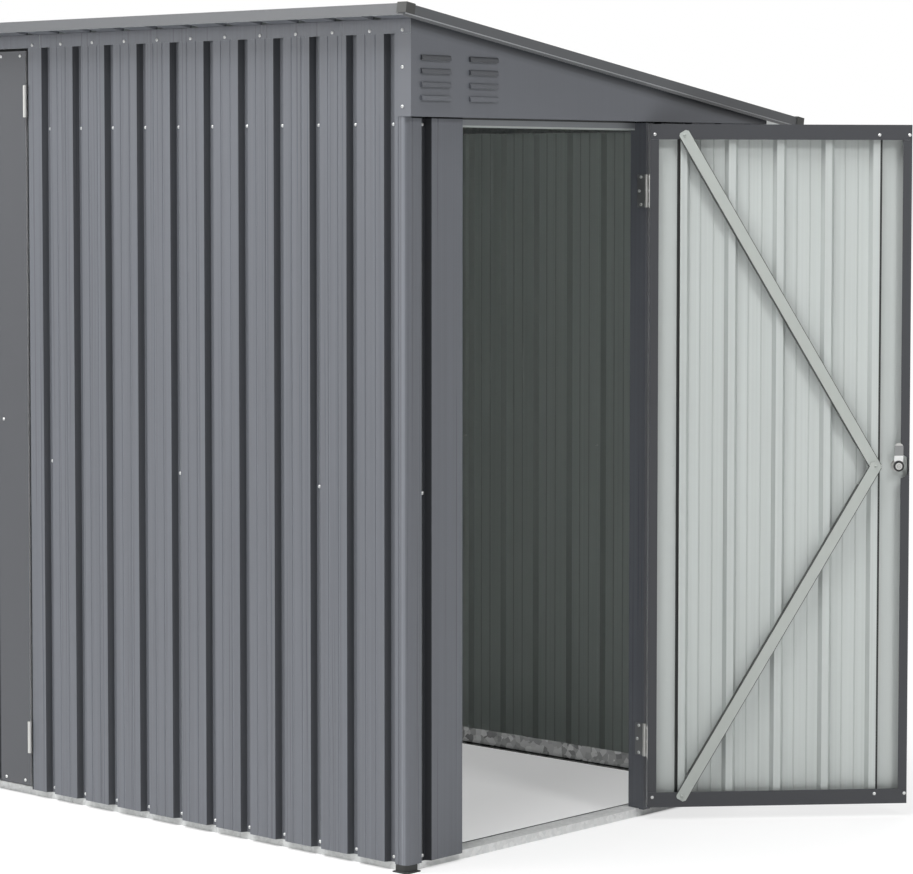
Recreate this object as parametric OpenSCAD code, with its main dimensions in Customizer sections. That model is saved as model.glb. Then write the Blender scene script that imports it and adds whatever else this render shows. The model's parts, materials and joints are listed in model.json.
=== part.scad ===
// Lean-to metal storage shed: profiled steel sheet on a galvanised base frame,
// a single-slope roof, one side door and a pair of front doors.
// Millimetres, +Z up. The origin is at ground level, in the middle of the lip under the front base rail.

/* [Overall] */
// Width over the outer faces of the side walls
wall_w = 2965; // [2700:1:3600]
// Depth over the outer faces of the front and rear walls
wall_d = 1309; // [1250:1:1700]
// Height of the roof's underside at the front wall
front_h = 1928; // [1900:1:2400]
// Height of the roof's underside at the rear wall
rear_h = 1719; // [1715:1:1800]
// Height of the seam between the side walls and the gable panels
gable_z = 1710; // [1400:1:1712]

/* [Wall sheet] */
// Thickness of the sheet
sheet_t = 1; // [0.6:0.1:1.4]
// Distance between neighbouring grooves
sheet_pitch = 119; // [95:1:145]
// Width of a groove at the outer face
groove_top = 33; // [26:1:40]
// Width of a groove's floor
groove_floor = 17; // [10:1:20]
// Depth of a groove
groove_d = 14; // [8:0.5:16]
// Width of the fine beads on the flats
bead_w = 4; // [2:0.5:6]
// Depth of the fine beads
bead_d = 1.2; // [0.5:0.1:2]
// Distance from a corner to the first groove on the front and the rear
corner_first = 53.5; // [45:0.5:65]
// Outside radius of the folded corners
corner_r = 12; // [6:1:18]
// Grooves between the corner groove and the front door jamb
front_grooves = 10; // [6:2:12]
// Height of the panels' lower edge
panel_z = 18; // [10:1:24]

/* [Doorways] */
// Width of the flat beside the front doorway on the long wall
front_jamb_w = 55; // [40:1:90]
// Width of the flat between a corner groove and a doorway
corner_jamb_w = 103; // [60:1:140]
// Width of the side doorway
side_open_w = 659; // [540:1:800]
// Depth of the folded reveals
reveal_d = 48; // [40:1:60]
// Width of the fold behind a reveal
reveal_return = 16; // [8:1:30]
// Height of the strip above the front doorway
fascia_h = 33; // [24:1:50]
// Height of the lintel that shows under the side gable
lintel_h = 21; // [12:1:40]

/* [Doors] */
// Gap between a door and its frame
door_gap = 6.5; // [5.5:0.5:8]
// Depth of a door leaf
door_t = 26; // [22:1:30]
// Width of the fold on the inner face of a stile
stile_lip = 22; // [16:1:34]
// Height of the fold on the inner face of a rail
rail_lip = 37; // [24:1:44]
// Least width of a stile's outer flat
stile_min = 60; // [40:1:66]
// Width of a brace bar
brace_w = 30; // [20:1:40]
// Thickness of a brace bar
brace_t = 1.5; // [1:0.5:3]
// Extra gap under the side door
side_lift = 5; // [0:1:10]
// Angle at which the side door stands open
side_open_angle = 137; // [0:1:160]
// Distance from a lock to the edge of its door
lock_inset = 27; // [22:1:36]

/* [Hinges] */
// Height of a hinge
hinge_h = 80; // [60:1:120]
// Width of a hinge leaf from the face of the wall
hinge_leaf_w = 26; // [18:1:36]
// Thickness of a hinge leaf
hinge_leaf_t = 1.5; // [1:0.1:2]
// Radius of a hinge barrel
barrel_r = 5; // [4.5:0.1:6]
// Radius of a hinge pin
pin_r = 3; // [2:0.1:3.5]
// Running clearance round a hinge pin
pin_fit = 0.05; // [0.02:0.01:0.1]
// Distance from the side door's end to the nearer end of a hinge
side_hinge_inset = 122; // [60:1:200]
// Distance from a front door's end to the nearer end of a hinge
front_hinge_inset = 86; // [60:1:200]

/* [Base] */
// Height of the base rail under a doorway
rail_h = 20; // [16:1:24]
// Width of that base rail's top
rail_w = 57; // [40:1:70]
// Height of the base rails' fold behind the wall sheet
upstand_h = 44; // [36:1:60]
// Width of the lip under a base rail
rail_foot_w = 16; // [10:1:24]
// Side of a corner foot
foot_w = 35; // [28:1:50]

/* [Roof] */
// Overhang of the roof at the front
front_over = 45; // [20:1:80]
// Overhang of the roof at the rear
rear_over = 115; // [60:1:160]
// Overhang of the roof at each side
side_over = 40; // [25:1:70]
// Height of the roof ribs
roof_rib_h = 22; // [14:1:28]
// Width of the trims' top flange
trim_flange = 25; // [20:1:40]
// Drop of the front and rear trims below the roof's underside
trim_drop = 2; // [1:0.5:6]
// Height of the verge's fold above the roof's underside
verge_rise = 2.5; // [1:0.5:5]
// Width of the slanted lip along the verge
verge_lip = 7; // [4:0.5:12]
// Height of the purlin under the roof
purlin_h = 40; // [30:1:60]
// Width of the purlin
purlin_w = 30; // [20:1:40]

/* [Gable] */
// Distance by which a gable stands proud of the wall
gable_out = 15; // [6:0.5:20]
// Width of the gable's flange on the front wall
gable_flange = 26; // [20:1:40]
// Width of a louvre
louvre_w = 96; // [60:1:110]
// Height of a louvre's hood
louvre_h = 12; // [8:0.5:16]
// Distance by which a hood stands out
louvre_out = 6; // [4:0.5:8]
// Distance between louvre rows
louvre_pitch = 30; // [24:1:36]
// Distance from the front wall to the first louvre's middle
louvre_first = 78; // [62:1:140]
// Distance between the two louvre columns
louvre_step = 160; // [130:1:220]
// Height of the lowest louvre above the seam
louvre_rise = 36; // [20:1:50]

/* [Hidden] */

$fn = 48;
// Gap between pieces that are screwed together, and between butted sheets
seat = 0.3;
// Gap in a seam between two neighbouring sheets
seam_gap = 0.4;
// Overrun of every cut
cut = 2;
// Corner of two folds, in degrees
fold_angle = 90;
// Steps in a folded corner and in a louvre's hood
arc_steps = 6;

// Colours of the finishes
outer_grey = "#5c6066";
inner_white = "#c5cbc9";
frame_grey = "#494b51";
zinc = "#c8cbca";
plastic_black = "#2a2c2c";
brace_grey = "#b9bcb4";

// Places of the main planes
front_y = -(groove_d + sheet_t + seat + rail_foot_w / 2);
rear_y = front_y + wall_d;
right_x = wall_w / 2;
left_x = -wall_w / 2;
rail_in = groove_d + sheet_t + seat;
rail_back = rail_in + rail_w;
// Ends of a base rail that meet others like it
mitred = [0, 0];

// Groove spacing, fitted to each wall
corner_second = sheet_pitch - corner_first;
rear_span = wall_w - 2 * corner_first;
rear_grooves = round(rear_span / sheet_pitch);
rear_pitch = rear_span / rear_grooves;
side_span = wall_d - corner_first - corner_second;
side_grooves = round(side_span / sheet_pitch);
side_pitch = side_span / side_grooves;
corner_bays = 2;
panel_bays = 4;
beads_per_bay = 2;
bead_step_share = 0.27;
// Bead between a corner's fold and its first groove
corner_bead = (corner_r + corner_first - groove_top / 2) / 2;

// Doorways, measured along their walls
front_fixed_w = corner_first + front_grooves * sheet_pitch + groove_top / 2 + front_jamb_w;
corner_fixed_w = corner_second + groove_top / 2 + corner_jamb_w;
front_open_left = left_x + corner_fixed_w;
front_open_right = right_x - front_fixed_w;
side_open_near = front_y + corner_fixed_w;
side_open_far = side_open_near + side_open_w;
post_seam = rear_y - corner_second - corner_bays * side_pitch;
post_bays = max(0, floor((post_seam - side_open_far - groove_top) / side_pitch));

// Doors
front_leaves = 2;
door_z = rail_h + door_gap - seat;
side_z = door_z + side_lift;
side_leaf_w = side_open_w - 2 * door_gap;
front_leaf_w = (front_open_right - front_open_left - (front_leaves + 1) * door_gap) / front_leaves;
// Gap under a brace bar, and between the two bars where they cross
brace_lap = 0.9;
// Depth of a brace bar's folded edges, which stand over the ribs of the sheet
brace_edge = door_t - groove_d - sheet_t;
// Length of a bar beyond its end screw, and the cut on its corners
brace_end = 10;
brace_chamfer = 7;
// Place of a bar's end screw across the inner lip of a rail
brace_end_share = 0.72;
// Lap of a stile behind the first rib of the sheet
stile_lap = 3;
fascia_z = front_h - fascia_h;
side_leaf_h = gable_z - door_gap - side_z;
front_leaf_h = fascia_z - door_gap - door_z;
axis_out = barrel_r + seat;
stop_in = door_t + brace_lap + brace_t + door_gap;
lintel_z = gable_z - lintel_h;
knuckles = 3;
knuckle_h = hinge_h / knuckles;
knuckle_gap = 0.2;

// Height of the panels that stand under the gables
low_panel_h = gable_z - seat - panel_z;
// Height of the front panels, which end behind the fascia
front_panel_h = fascia_z + fascia_h / 2 - panel_z;

// Corner feet
foot_base_t = 3;
foot_base_out = 5;

// Joint of the front base rail, measured from the front doorway
base_joint = 136;
base_gap = 2.5;

// Lock
lock_r = 9.5;
lock_ring_r = 13;
lock_ring_t = 3;
lock_nut_r = 15;
lock_nut_t = 4;
cam_nut_r = 13;
cam_nut_t = 3;
cam_screw_r = 7;
cam_screw_t = 2;
lip_notch_r = 30;
cam_w = 22;
cam_step = 20;
cam_bend = 26;
cam_l = 57;
cam_t = 3;
key_slot_w = 2;
key_slot_l = 9;
lock_rise_share = 0.5;

// Roof, worked out in a frame that lies in the roof's underside
slope = atan((front_h - rear_h) / wall_d);
roof_y0 = -front_over;
roof_y1 = (wall_d + rear_over) / cos(slope);
roof_w = wall_w + 2 * side_over;
verge_in = trim_flange + seat;
roof_span = roof_w - 2 * (verge_lip + seat);
roof_bays = round(roof_span / sheet_pitch);
roof_pitch = roof_span / roof_bays;
roof_sheet_bays = 6;
roof_sheets = ceil(roof_bays / roof_sheet_bays);
trim_z = sheet_t + roof_rib_h + seat;
cap_wall = 2;
cap_over = 2;
cap_l = trim_flange + cap_over;

// Gable
flange_top = fascia_z - seat;
gable_lip = rail_in + sheet_t;
gable_top_lip = 25;
channel_w = 25;
channel_h = 30;
purlin_y_share = 0.5;
louvre_rows = 4;

// Joint of the two strips over the front wall
strip_gap = 1.2;
strip_inset = 4;

// One groove's outline, outer face, with c at its middle
function groove_points(c) = [
  [c - groove_top / 2, 0], [c - groove_floor / 2, groove_d],
  [c + groove_floor / 2, groove_d], [c + groove_top / 2, 0]
];

// One fine bead with its middle at c
function bead_at(c) = [[c - bead_w / 2, 0], [c, bead_d], [c + bead_w / 2, 0]];

// Fine beads on the flat between two grooves, m is the middle of the flat
function bead_points(m, pitch) = [
  for (i = [0 : beads_per_bay - 1])
    each bead_at(m + (i - (beads_per_bay - 1) / 2) * bead_step_share * pitch)
];

// Outer face of a sheet that runs from groove floor to groove floor over n bays.
// Its edges lie in the floors, so far inside the middles of the end grooves.
function bay_points(n, pitch, inset) = concat(
  [[inset, groove_d]],
  [for (k = [0 : n - 1]) each concat(
    [[k * pitch + groove_floor / 2, groove_d], [k * pitch + groove_top / 2, 0]],
    bead_points(k * pitch + pitch / 2, pitch),
    [[(k + 1) * pitch - groove_top / 2, 0], [(k + 1) * pitch - groove_floor / 2, groove_d]]
  )],
  [[n * pitch - inset, groove_d]]
);

function reversed(list) = [for (i = [len(list) - 1 : -1 : 0]) list[i]];
function shifted(list, by) = [for (p = list) p + by];

// Cross-section of a profiled sheet: its outer face, and the same line one thickness further in
module sheet_section(points) {
  polygon(concat(points, reversed(shifted(points, [0, sheet_t]))));
}

// One wall panel of n bays that starts at the wall's u coordinate
module wall_panel(u, n, pitch, height) {
  translate([u, 0, panel_z])
    linear_extrude(height)
      sheet_section(bay_points(n, pitch, seam_gap / 2));
}

// A row of panels over so many bays, cut into panels of about panel_bays each
module panel_row(u, bays, pitch, height) {
  count = ceil(bays / panel_bays);
  for (i = [0 : count - 1]) {
    first = floor(i * bays / count);
    last = floor((i + 1) * bays / count);
    wall_panel(u + first * pitch, last - first, pitch, height);
  }
}

// Outer face of one arm of a corner panel: from the corner's arc to the seam, after a bead or none
function arm_points(first, n, pitch, bead) = concat(
  [[corner_r, 0]],
  bead,
  [for (k = [0 : 1 : n - 1]) each concat(
    groove_points(first + k * pitch),
    bead_points(first + k * pitch + pitch / 2, pitch)
  )],
  [
    [first + n * pitch - groove_top / 2, 0],
    [first + n * pitch - groove_floor / 2, groove_d],
    [first + n * pitch - seam_gap / 2, groove_d]
  ]
);

// Cross-section of a panel that folds round a corner.
// Arm a runs along -X with its outer face at Y 0, arm b along +Y with its outer face at X 0.
module corner_section(first_a, n_a, pitch_a, first_b, n_b, pitch_b) {
  a = arm_points(first_a, n_a, pitch_a, bead_at(corner_bead));
  b = arm_points(first_b, n_b, pitch_b, []);
  outer_a = [for (p = a) [-p.x, p.y]];
  inner_a = shifted(outer_a, [0, sheet_t]);
  outer_b = [for (p = b) [-p.y, p.x]];
  inner_b = shifted(outer_b, [-sheet_t, 0]);
  turns = [for (i = [1 : arc_steps - 1]) fold_angle * i / arc_steps];
  outer_arc = [for (t = turns) [-corner_r + corner_r * sin(t), corner_r - corner_r * cos(t)]];
  inner_r = corner_r - sheet_t;
  inner_arc = [for (t = turns) [-corner_r + inner_r * sin(t), corner_r - inner_r * cos(t)]];
  polygon(concat(
    reversed(outer_a), outer_arc, outer_b, reversed(inner_b), reversed(inner_arc), inner_a
  ));
}

// Cross-section of a doorway jamb: half a groove, n more bays, a flat, the reveal and its return.
// It starts at the seam and runs along +X to the doorway, outer face at Y 0.
module jamb_section(n, pitch, flat_end) {
  lead = concat(
    [[seam_gap / 2, groove_d], [groove_floor / 2, groove_d], [groove_top / 2, 0]],
    [for (k = [1 : 1 : n]) each concat(bead_points(k * pitch - pitch / 2, pitch), groove_points(k * pitch))]
  );
  polygon(concat(
    lead,
    [
      [flat_end, 0], [flat_end, reveal_d], [flat_end - reveal_return, reveal_d],
      [flat_end - reveal_return, reveal_d - sheet_t], [flat_end - sheet_t, reveal_d - sheet_t],
      [flat_end - sheet_t, sheet_t]
    ],
    reversed(shifted(lead, [0, sheet_t]))
  ));
}

// A jamb of such a height. Its reveal and return stop above the base rail.
module jamb(n, pitch, flat_end, height) {
  difference() {
    linear_extrude(height)
      jamb_section(n, pitch, flat_end);
    translate([flat_end - reveal_return - cut, groove_d + sheet_t, -cut])
      cube([reveal_return + 2 * cut, reveal_d, max(cut, rail_h + seat - panel_z + cut)]);
  }
}

// Plan of one base rail's strip between two depths. Each end is mitred where its stop is 0,
// or else cut square at the stop.
module rail_strip(length, d0, d1, stops) {
  half = length / 2 - seat;
  low = [for (d = [d0, d1]) stops[0] > 0 ? stops[0] : d];
  high = [for (d = [d0, d1]) stops[1] > 0 ? stops[1] : d];
  polygon([[low[0] - half, d0], [half - high[0], d0], [half - high[1], d1], [low[1] - half, d1]]);
}

// Room for the corner feet at both ends of a base rail
module feet_cut(length) {
  room = 2 * (foot_w + foot_base_out + seat);
  for (side = [-1, 1])
    translate([side * length / 2, 0, 0])
      cube([room, room, 2 * panel_z], center = true);
}

// Angle along X under a closed wall: a fold behind the sheet and a lip on the ground
module base_angle(length) {
  difference() {
    union() {
      linear_extrude(upstand_h)
        rail_strip(length, rail_in, rail_in + sheet_t, mitred);
      linear_extrude(sheet_t)
        rail_strip(length, rail_in, rail_in + rail_foot_w, mitred);
    }
    feet_cut(length);
  }
}

// Base rail along X under a doorway. Its step is mitred, or stops square where an angle meets it:
// there ends holds a 1.
module base_rail(length, ends) {
  base_angle(length);
  difference() {
    union() {
      translate([0, 0, rail_h - sheet_t])
        linear_extrude(sheet_t)
          rail_strip(length, rail_in, rail_back, ends * (rail_in + sheet_t));
      linear_extrude(rail_h)
        rail_strip(length, rail_back - sheet_t, rail_back, ends * (rail_in + rail_foot_w + seat));
    }
    feet_cut(length);
  }
}

// Takes the rail's upstand away across a doorway
module upstand_notch(from, to) {
  translate([from, 0, rail_h])
    cube([to - from, rail_back, upstand_h]);
}

module place_rear() {
  translate([0, rear_y, 0]) mirror([0, 1, 0]) children();
}

// Puts a wall that runs along X with its outer face at Y 0 on the right side.
// There +X becomes +Y, measured from the middle of the depth.
module place_right() {
  translate([right_x, front_y + wall_d / 2, 0]) rotate([0, 0, fold_angle]) children();
}

module place_left() {
  mirror([1, 0, 0]) place_right() children();
}

module base_rail_front() {
  color(zinc)
    translate([0, front_y, 0])
      difference() {
        base_rail(wall_w, [1, 0]);
        upstand_notch(front_open_left - reveal_return, front_open_right + reveal_return);
        translate([front_open_right + base_joint, 0, -cut])
          cube([base_gap, rail_back + cut, upstand_h + 2 * cut]);
      }
}

module base_rail_rear() {
  color(zinc) place_rear() base_angle(wall_w);
}

module base_rail_left() {
  color(zinc) place_left() base_angle(wall_d);
}

module base_rail_right() {
  near = side_open_near - front_y - wall_d / 2;
  color(zinc)
    place_right()
      difference() {
        base_rail(wall_d, [0, 1]);
        upstand_notch(near - reveal_return, near + side_open_w + reveal_return);
      }
}

// Plastic foot under a corner: a rounded block on a thin, wider plate
module corner_foot() {
  linear_extrude(panel_z - seat)
    foot_plan(0);
  linear_extrude(foot_base_t)
    foot_plan(foot_base_out);
}

// Plan of a foot, so far beyond its block
module foot_plan(out) {
  difference() {
    translate([-foot_w - out, -out])
      square([foot_w + 2 * out, foot_w + 2 * out]);
    translate([-corner_r + out, corner_r - out])
      difference() {
        translate([0, -corner_r])
          square([corner_r, corner_r]);
        circle(corner_r);
      }
  }
}

module corner_feet() {
  color(plastic_black)
    for (side = [0, 1])
      mirror([side, 0, 0]) {
        translate([right_x, front_y, 0]) corner_foot();
        translate([right_x, rear_y, 0]) mirror([0, 1, 0]) corner_foot();
      }
}

// Takes a front corner panel away under the gable, the side arm over so much of the depth
module gable_cut(length) {
  translate([-corner_r - cut, -cut, low_panel_h])
    cube([corner_r + 2 * cut, corner_r + 2 * cut, front_panel_h]);
  translate([-rail_in - cut, corner_r, low_panel_h])
    cube([rail_in + 2 * cut, length, front_panel_h]);
}

module front_wall_panels() {
  start = right_x - corner_first - front_grooves * sheet_pitch;
  color(outer_grey)
    translate([0, front_y, 0])
      panel_row(start, front_grooves - corner_bays, sheet_pitch, front_panel_h);
}

module corner_panel_front_right() {
  color(outer_grey)
    translate([right_x, front_y, panel_z])
      difference() {
        linear_extrude(front_panel_h)
          corner_section(corner_first, corner_bays, sheet_pitch, corner_second, 0, side_pitch);
        gable_cut(sheet_pitch);
      }
}

module corner_panel_front_left() {
  color(outer_grey)
    mirror([1, 0, 0])
      translate([right_x, front_y, panel_z])
        difference() {
          linear_extrude(front_panel_h)
            corner_section(corner_second, 0, sheet_pitch, corner_first, corner_bays, side_pitch);
          gable_cut(wall_d);
        }
}

module corner_panel_rear() {
  translate([right_x, rear_y, panel_z])
    mirror([0, 1, 0])
      linear_extrude(low_panel_h)
        corner_section(corner_first, 0, rear_pitch, corner_second, corner_bays, side_pitch);
}

module corner_panel_rear_right() {
  color(outer_grey) corner_panel_rear();
}

module corner_panel_rear_left() {
  color(outer_grey) mirror([1, 0, 0]) corner_panel_rear();
}

module left_wall_panels() {
  start = corner_first + corner_bays * side_pitch - wall_d / 2;
  color(outer_grey)
    place_left() panel_row(start, side_grooves - 2 * corner_bays, side_pitch, low_panel_h);
}

module rear_wall_panels() {
  color(outer_grey)
    place_rear() panel_row(left_x + corner_first, rear_grooves, rear_pitch, low_panel_h);
}

module front_jamb_right() {
  start = right_x - corner_first - front_grooves * sheet_pitch;
  color(outer_grey)
    translate([start, front_y, panel_z])
      mirror([1, 0, 0])
        jamb(0, sheet_pitch, start - front_open_right, front_panel_h);
}

module front_jamb_left() {
  start = left_x + corner_second;
  color(outer_grey)
    translate([start, front_y, panel_z])
      jamb(0, sheet_pitch, front_open_left - start, front_panel_h);
}

module side_jamb() {
  color(outer_grey)
    place_right()
      translate([corner_second - wall_d / 2, 0, panel_z])
        jamb(0, side_pitch, corner_fixed_w - corner_second, low_panel_h);
}

module side_hinge_post() {
  color(outer_grey)
    place_right()
      translate([post_seam - front_y - wall_d / 2, 0, panel_z])
        mirror([1, 0, 0])
          jamb(post_bays, side_pitch, post_seam - side_open_far, low_panel_h);
}

// Folded strip that stops a door: a plate with a flange at its lower and upper edge, along +X
module stop_section(height, depth) {
  difference() {
    square([depth, height]);
    translate([sheet_t, sheet_t])
      square([depth, height - 2 * sheet_t]);
  }
}

module channel(length, depth, height) {
  rotate([fold_angle, 0, fold_angle])
    linear_extrude(length)
      stop_section(height, depth);
}

module side_lintel() {
  near = side_open_near - front_y - wall_d / 2;
  color(frame_grey)
    place_right()
      translate([near + seat, stop_in, lintel_z])
        channel(side_open_w - 2 * seat, channel_w, gable_z - lintel_z + channel_h / 2);
}

module front_header() {
  low = fascia_z - fascia_h / 2;
  top = front_h - (stop_in + channel_w) * tan(slope) - seat;
  color(frame_grey)
    translate([front_open_left + seat, front_y + stop_in, low])
      channel(front_open_right - front_open_left - 2 * seat, channel_w, top - low);
}

module front_inner_rail() {
  start = front_open_right + reveal_return + 2 * sheet_t;
  color(zinc)
    translate([start, front_y + rail_in, gable_z - channel_h])
      channel(right_x - corner_first - start, channel_w, channel_h);
}

module front_top_rail() {
  start = front_open_right + reveal_return + 2 * sheet_t;
  color(zinc)
    translate([start, front_y + rail_in, fascia_z - channel_h / 2])
      channel(right_x - corner_first - start, channel_w, channel_h);
}

module left_top_rail() {
  color(zinc)
    place_left()
      translate([corner_first - wall_d / 2, rail_in, gable_z - channel_h])
        channel(wall_d - corner_first - corner_second, channel_w, channel_h);
}

module rear_top_rail() {
  top = front_h - (wall_d - rail_in) * tan(slope) - seat;
  color(zinc)
    place_rear()
      translate([left_x + corner_first, rail_in, top - channel_h])
        channel(rear_span, channel_w, channel_h);
}

// Strip along the top of the front wall, in two lengths that meet beside the front doors
module front_fascia() {
  meet = front_open_right + front_jamb_w - strip_inset;
  end = gable_out - sheet_t - seat;
  color(outer_grey)
    translate([0, front_y - seat - sheet_t, fascia_z]) {
      translate([left_x - end, 0, 0])
        cube([meet - strip_gap / 2 - left_x + end, sheet_t, fascia_h - seat]);
      translate([meet + strip_gap / 2, 0, 0])
        cube([right_x + end - meet - strip_gap / 2, sheet_t, fascia_h - seat]);
    }
}

module rear_fascia() {
  end = gable_out - sheet_t - seat;
  top = front_h - (wall_d + sheet_t + seat) * tan(slope) - seat;
  color(outer_grey)
    translate([left_x - end, rear_y + seat, top - fascia_h])
      cube([wall_w + 2 * end, sheet_t, fascia_h]);
}

// Pressed hood over one louvre slot. It stands out along +X with its lower edge at Z 0.
module louvre_outline(out, rise) {
  polygon(concat(
    [[0, 0]],
    [for (i = [0 : arc_steps]) let (t = fold_angle * i / arc_steps) [out * cos(t), rise * sin(t)]]
  ));
}

module louvre_hood() {
  translate([0, louvre_w / 2, 0])
    rotate([fold_angle, 0, 0])
      difference() {
        linear_extrude(louvre_w)
          louvre_outline(louvre_out, louvre_h);
        translate([0, -sheet_t, sheet_t])
          linear_extrude(louvre_w - 2 * sheet_t)
            louvre_outline(louvre_out - sheet_t, louvre_h);
      }
}

module louvre_slot() {
  translate([-sheet_t - cut, sheet_t - louvre_w / 2, 0])
    cube([sheet_t + cut, louvre_w - 2 * sheet_t, louvre_h - sheet_t]);
}

// Puts one child at each louvre, the gable's outer face at X 0 and its seam at Z 0
module each_louvre() {
  for (column = [0, 1], row = [0 : louvre_rows - 1])
    translate([0, louvre_first + column * louvre_step, louvre_rise + row * louvre_pitch])
      children();
}

// Side outline of a gable from the seam to the underside of the roof
module gable_outline() {
  front_top = front_h - seat - gable_z;
  rear_top = front_top - wall_d * tan(slope);
  rise = (seat + sheet_t) * tan(slope);
  polygon([
    [-seat - sheet_t, 0], [wall_d, 0], [wall_d, rear_top], [-seat - sheet_t, front_top + rise]
  ]);
}

// Right-hand gable panel: louvred plate, lip along the seam, flange round the front corner, top lip
module gable() {
  front_top = front_h - seat - gable_z;
  translate([right_x + gable_out, front_y, gable_z]) {
    difference() {
      translate([-sheet_t, 0, 0])
        rotate([fold_angle, 0, fold_angle])
          linear_extrude(sheet_t)
            gable_outline();
      each_louvre() louvre_slot();
    }
    each_louvre() louvre_hood();
    translate([-gable_out - gable_lip, sheet_t + seat, 0])
      cube([gable_out + gable_lip, wall_d - sheet_t - seat, sheet_t]);
    translate([-gable_out - gable_flange, -seat - sheet_t, 0])
      cube([gable_out + gable_flange, sheet_t, flange_top - gable_z]);
    translate([-gable_top_lip, 0, front_top])
      rotate([-slope, 0, 0])
        translate([0, 0, -sheet_t])
          cube([gable_top_lip, (wall_d - gable_top_lip) / cos(slope), sheet_t]);
  }
}

module gable_right() {
  color(outer_grey) gable();
}

module gable_left() {
  color(outer_grey) mirror([1, 0, 0]) gable();
}

// Frame of the roof: Y runs down the slope, Z is square to the roof, Z 0 is its underside
module on_roof() {
  translate([0, front_y, front_h]) rotate([-slope, 0, 0]) children();
}

module roof_purlin() {
  half = right_x + gable_out - sheet_t - seat;
  color(zinc)
    on_roof()
      translate([-half, wall_d * purlin_y_share, -seat - sheet_t - seat - purlin_h])
        channel(2 * half, purlin_w, purlin_h);
}

// Outline of a roof sheet over n bays, from the crest of one rib to the crest of another
function roof_points(n) = concat(
  [[seam_gap / 2, roof_rib_h]],
  [for (k = [0 : n - 1]) each [
    [k * roof_pitch + groove_floor / 2, roof_rib_h], [k * roof_pitch + groove_top / 2, 0],
    [(k + 1) * roof_pitch - groove_top / 2, 0], [(k + 1) * roof_pitch - groove_floor / 2, roof_rib_h]
  ]],
  [[n * roof_pitch - seam_gap / 2, roof_rib_h]]
);

module roof_panels() {
  color(outer_grey)
    on_roof()
      for (i = [0 : roof_sheets - 1]) {
        first = floor(i * roof_bays / roof_sheets);
        last = floor((i + 1) * roof_bays / roof_sheets);
        translate([first * roof_pitch - roof_span / 2, roof_y1, 0])
          rotate([fold_angle, 0, 0])
            linear_extrude(roof_y1 - roof_y0)
              sheet_section(roof_points(last - first));
      }
}

// Section of a roof trim: top flange over the ribs, a face that lies at X 0 and looks along -X,
// and a lip that slants in from the face's lower edge
module trim_section(low, lip) {
  edge = [[lip, low - lip], [lip + sheet_t, low - lip]];
  bend = lip > 0 ? [[sheet_t, low]] : [];
  bend_outer = lip > 0 ? [[0, low]] : [];
  flange = [
    [sheet_t, trim_z], [trim_flange, trim_z], [trim_flange, trim_z + sheet_t], [0, trim_z + sheet_t]
  ];
  polygon(concat(edge, bend, flange, bend_outer));
}

// Trim along the front or the rear with its face at Y 0. The face runs on under the corner caps.
module level_trim() {
  half = roof_w / 2 - verge_in;
  under = roof_w / 2 - verge_lip - seat;
  translate([-half, 0, 0])
    rotate([fold_angle, 0, fold_angle])
      linear_extrude(2 * half)
        trim_section(-trim_drop, 0);
  translate([-under, 0, -trim_drop])
    cube([2 * under, sheet_t, trim_drop + verge_rise - seat]);
}

module roof_trim_front() {
  color(outer_grey)
    on_roof()
      translate([0, roof_y0 - seat - sheet_t, 0])
        level_trim();
}

module roof_trim_rear() {
  color(outer_grey)
    on_roof()
      translate([0, roof_y1 + seat + sheet_t, 0])
        mirror([0, 1, 0])
          level_trim();
}

module verge_trim() {
  on_roof()
    translate([-roof_w / 2 - sheet_t, roof_y1 + seat + sheet_t, 0])
      rotate([fold_angle, 0, 0])
        linear_extrude(roof_y1 - roof_y0 + 2 * (seat + sheet_t))
          trim_section(verge_rise, verge_lip);
}

module verge_trim_right() {
  color(outer_grey) mirror([1, 0, 0]) verge_trim();
}

module verge_trim_left() {
  color(outer_grey) verge_trim();
}

// Plastic cap over the corner of two trims: a top and two outer faces, its outer corner at X 0, Y 0
module roof_cap() {
  high = trim_z + sheet_t + seat - verge_rise;
  difference() {
    translate([-cap_wall - seat, -cap_wall - seat, verge_rise])
      cube([cap_l + cap_wall, cap_l + cap_wall, high + cap_wall]);
    translate([-seat, -seat, verge_rise - cut])
      cube([cap_l + 2 * cut, cap_l + 2 * cut, high + cut]);
  }
}

module roof_corner_caps() {
  color(plastic_black)
    on_roof()
      for (side = [0, 1])
        mirror([side, 0, 0])
          translate([-roof_w / 2 - sheet_t, 0, 0]) {
            translate([0, roof_y0 - seat - sheet_t, 0]) roof_cap();
            translate([0, roof_y1 + seat + sheet_t, 0]) mirror([0, 1, 0]) roof_cap();
          }
}

// Frame of a door: the hinge axis is the Z axis, the leaf runs along +X and its outer face is at
// Y axis_out. A right-hand door is the mirror image.
module place_side_door() {
  translate([right_x + axis_out, side_open_far - door_gap / 2, side_z])
    rotate([0, 0, fold_angle + side_open_angle])
      mirror([1, 0, 0])
        children();
}

module place_side_frame() {
  translate([right_x + axis_out, side_open_far - door_gap / 2, side_z])
    rotate([0, 0, fold_angle])
      mirror([1, 0, 0])
        children();
}

module place_front_right() {
  translate([front_open_right - door_gap / 2, front_y - axis_out, door_z]) mirror([1, 0, 0]) children();
}

module place_front_left() {
  translate([front_open_left + door_gap / 2, front_y - axis_out, door_z]) children();
}

// Both hinges of a door whose leaf is so high
module hinge_pair(height, inset) {
  for (z = [inset, height - inset - hinge_h])
    translate([0, 0, z]) children();
}

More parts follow.
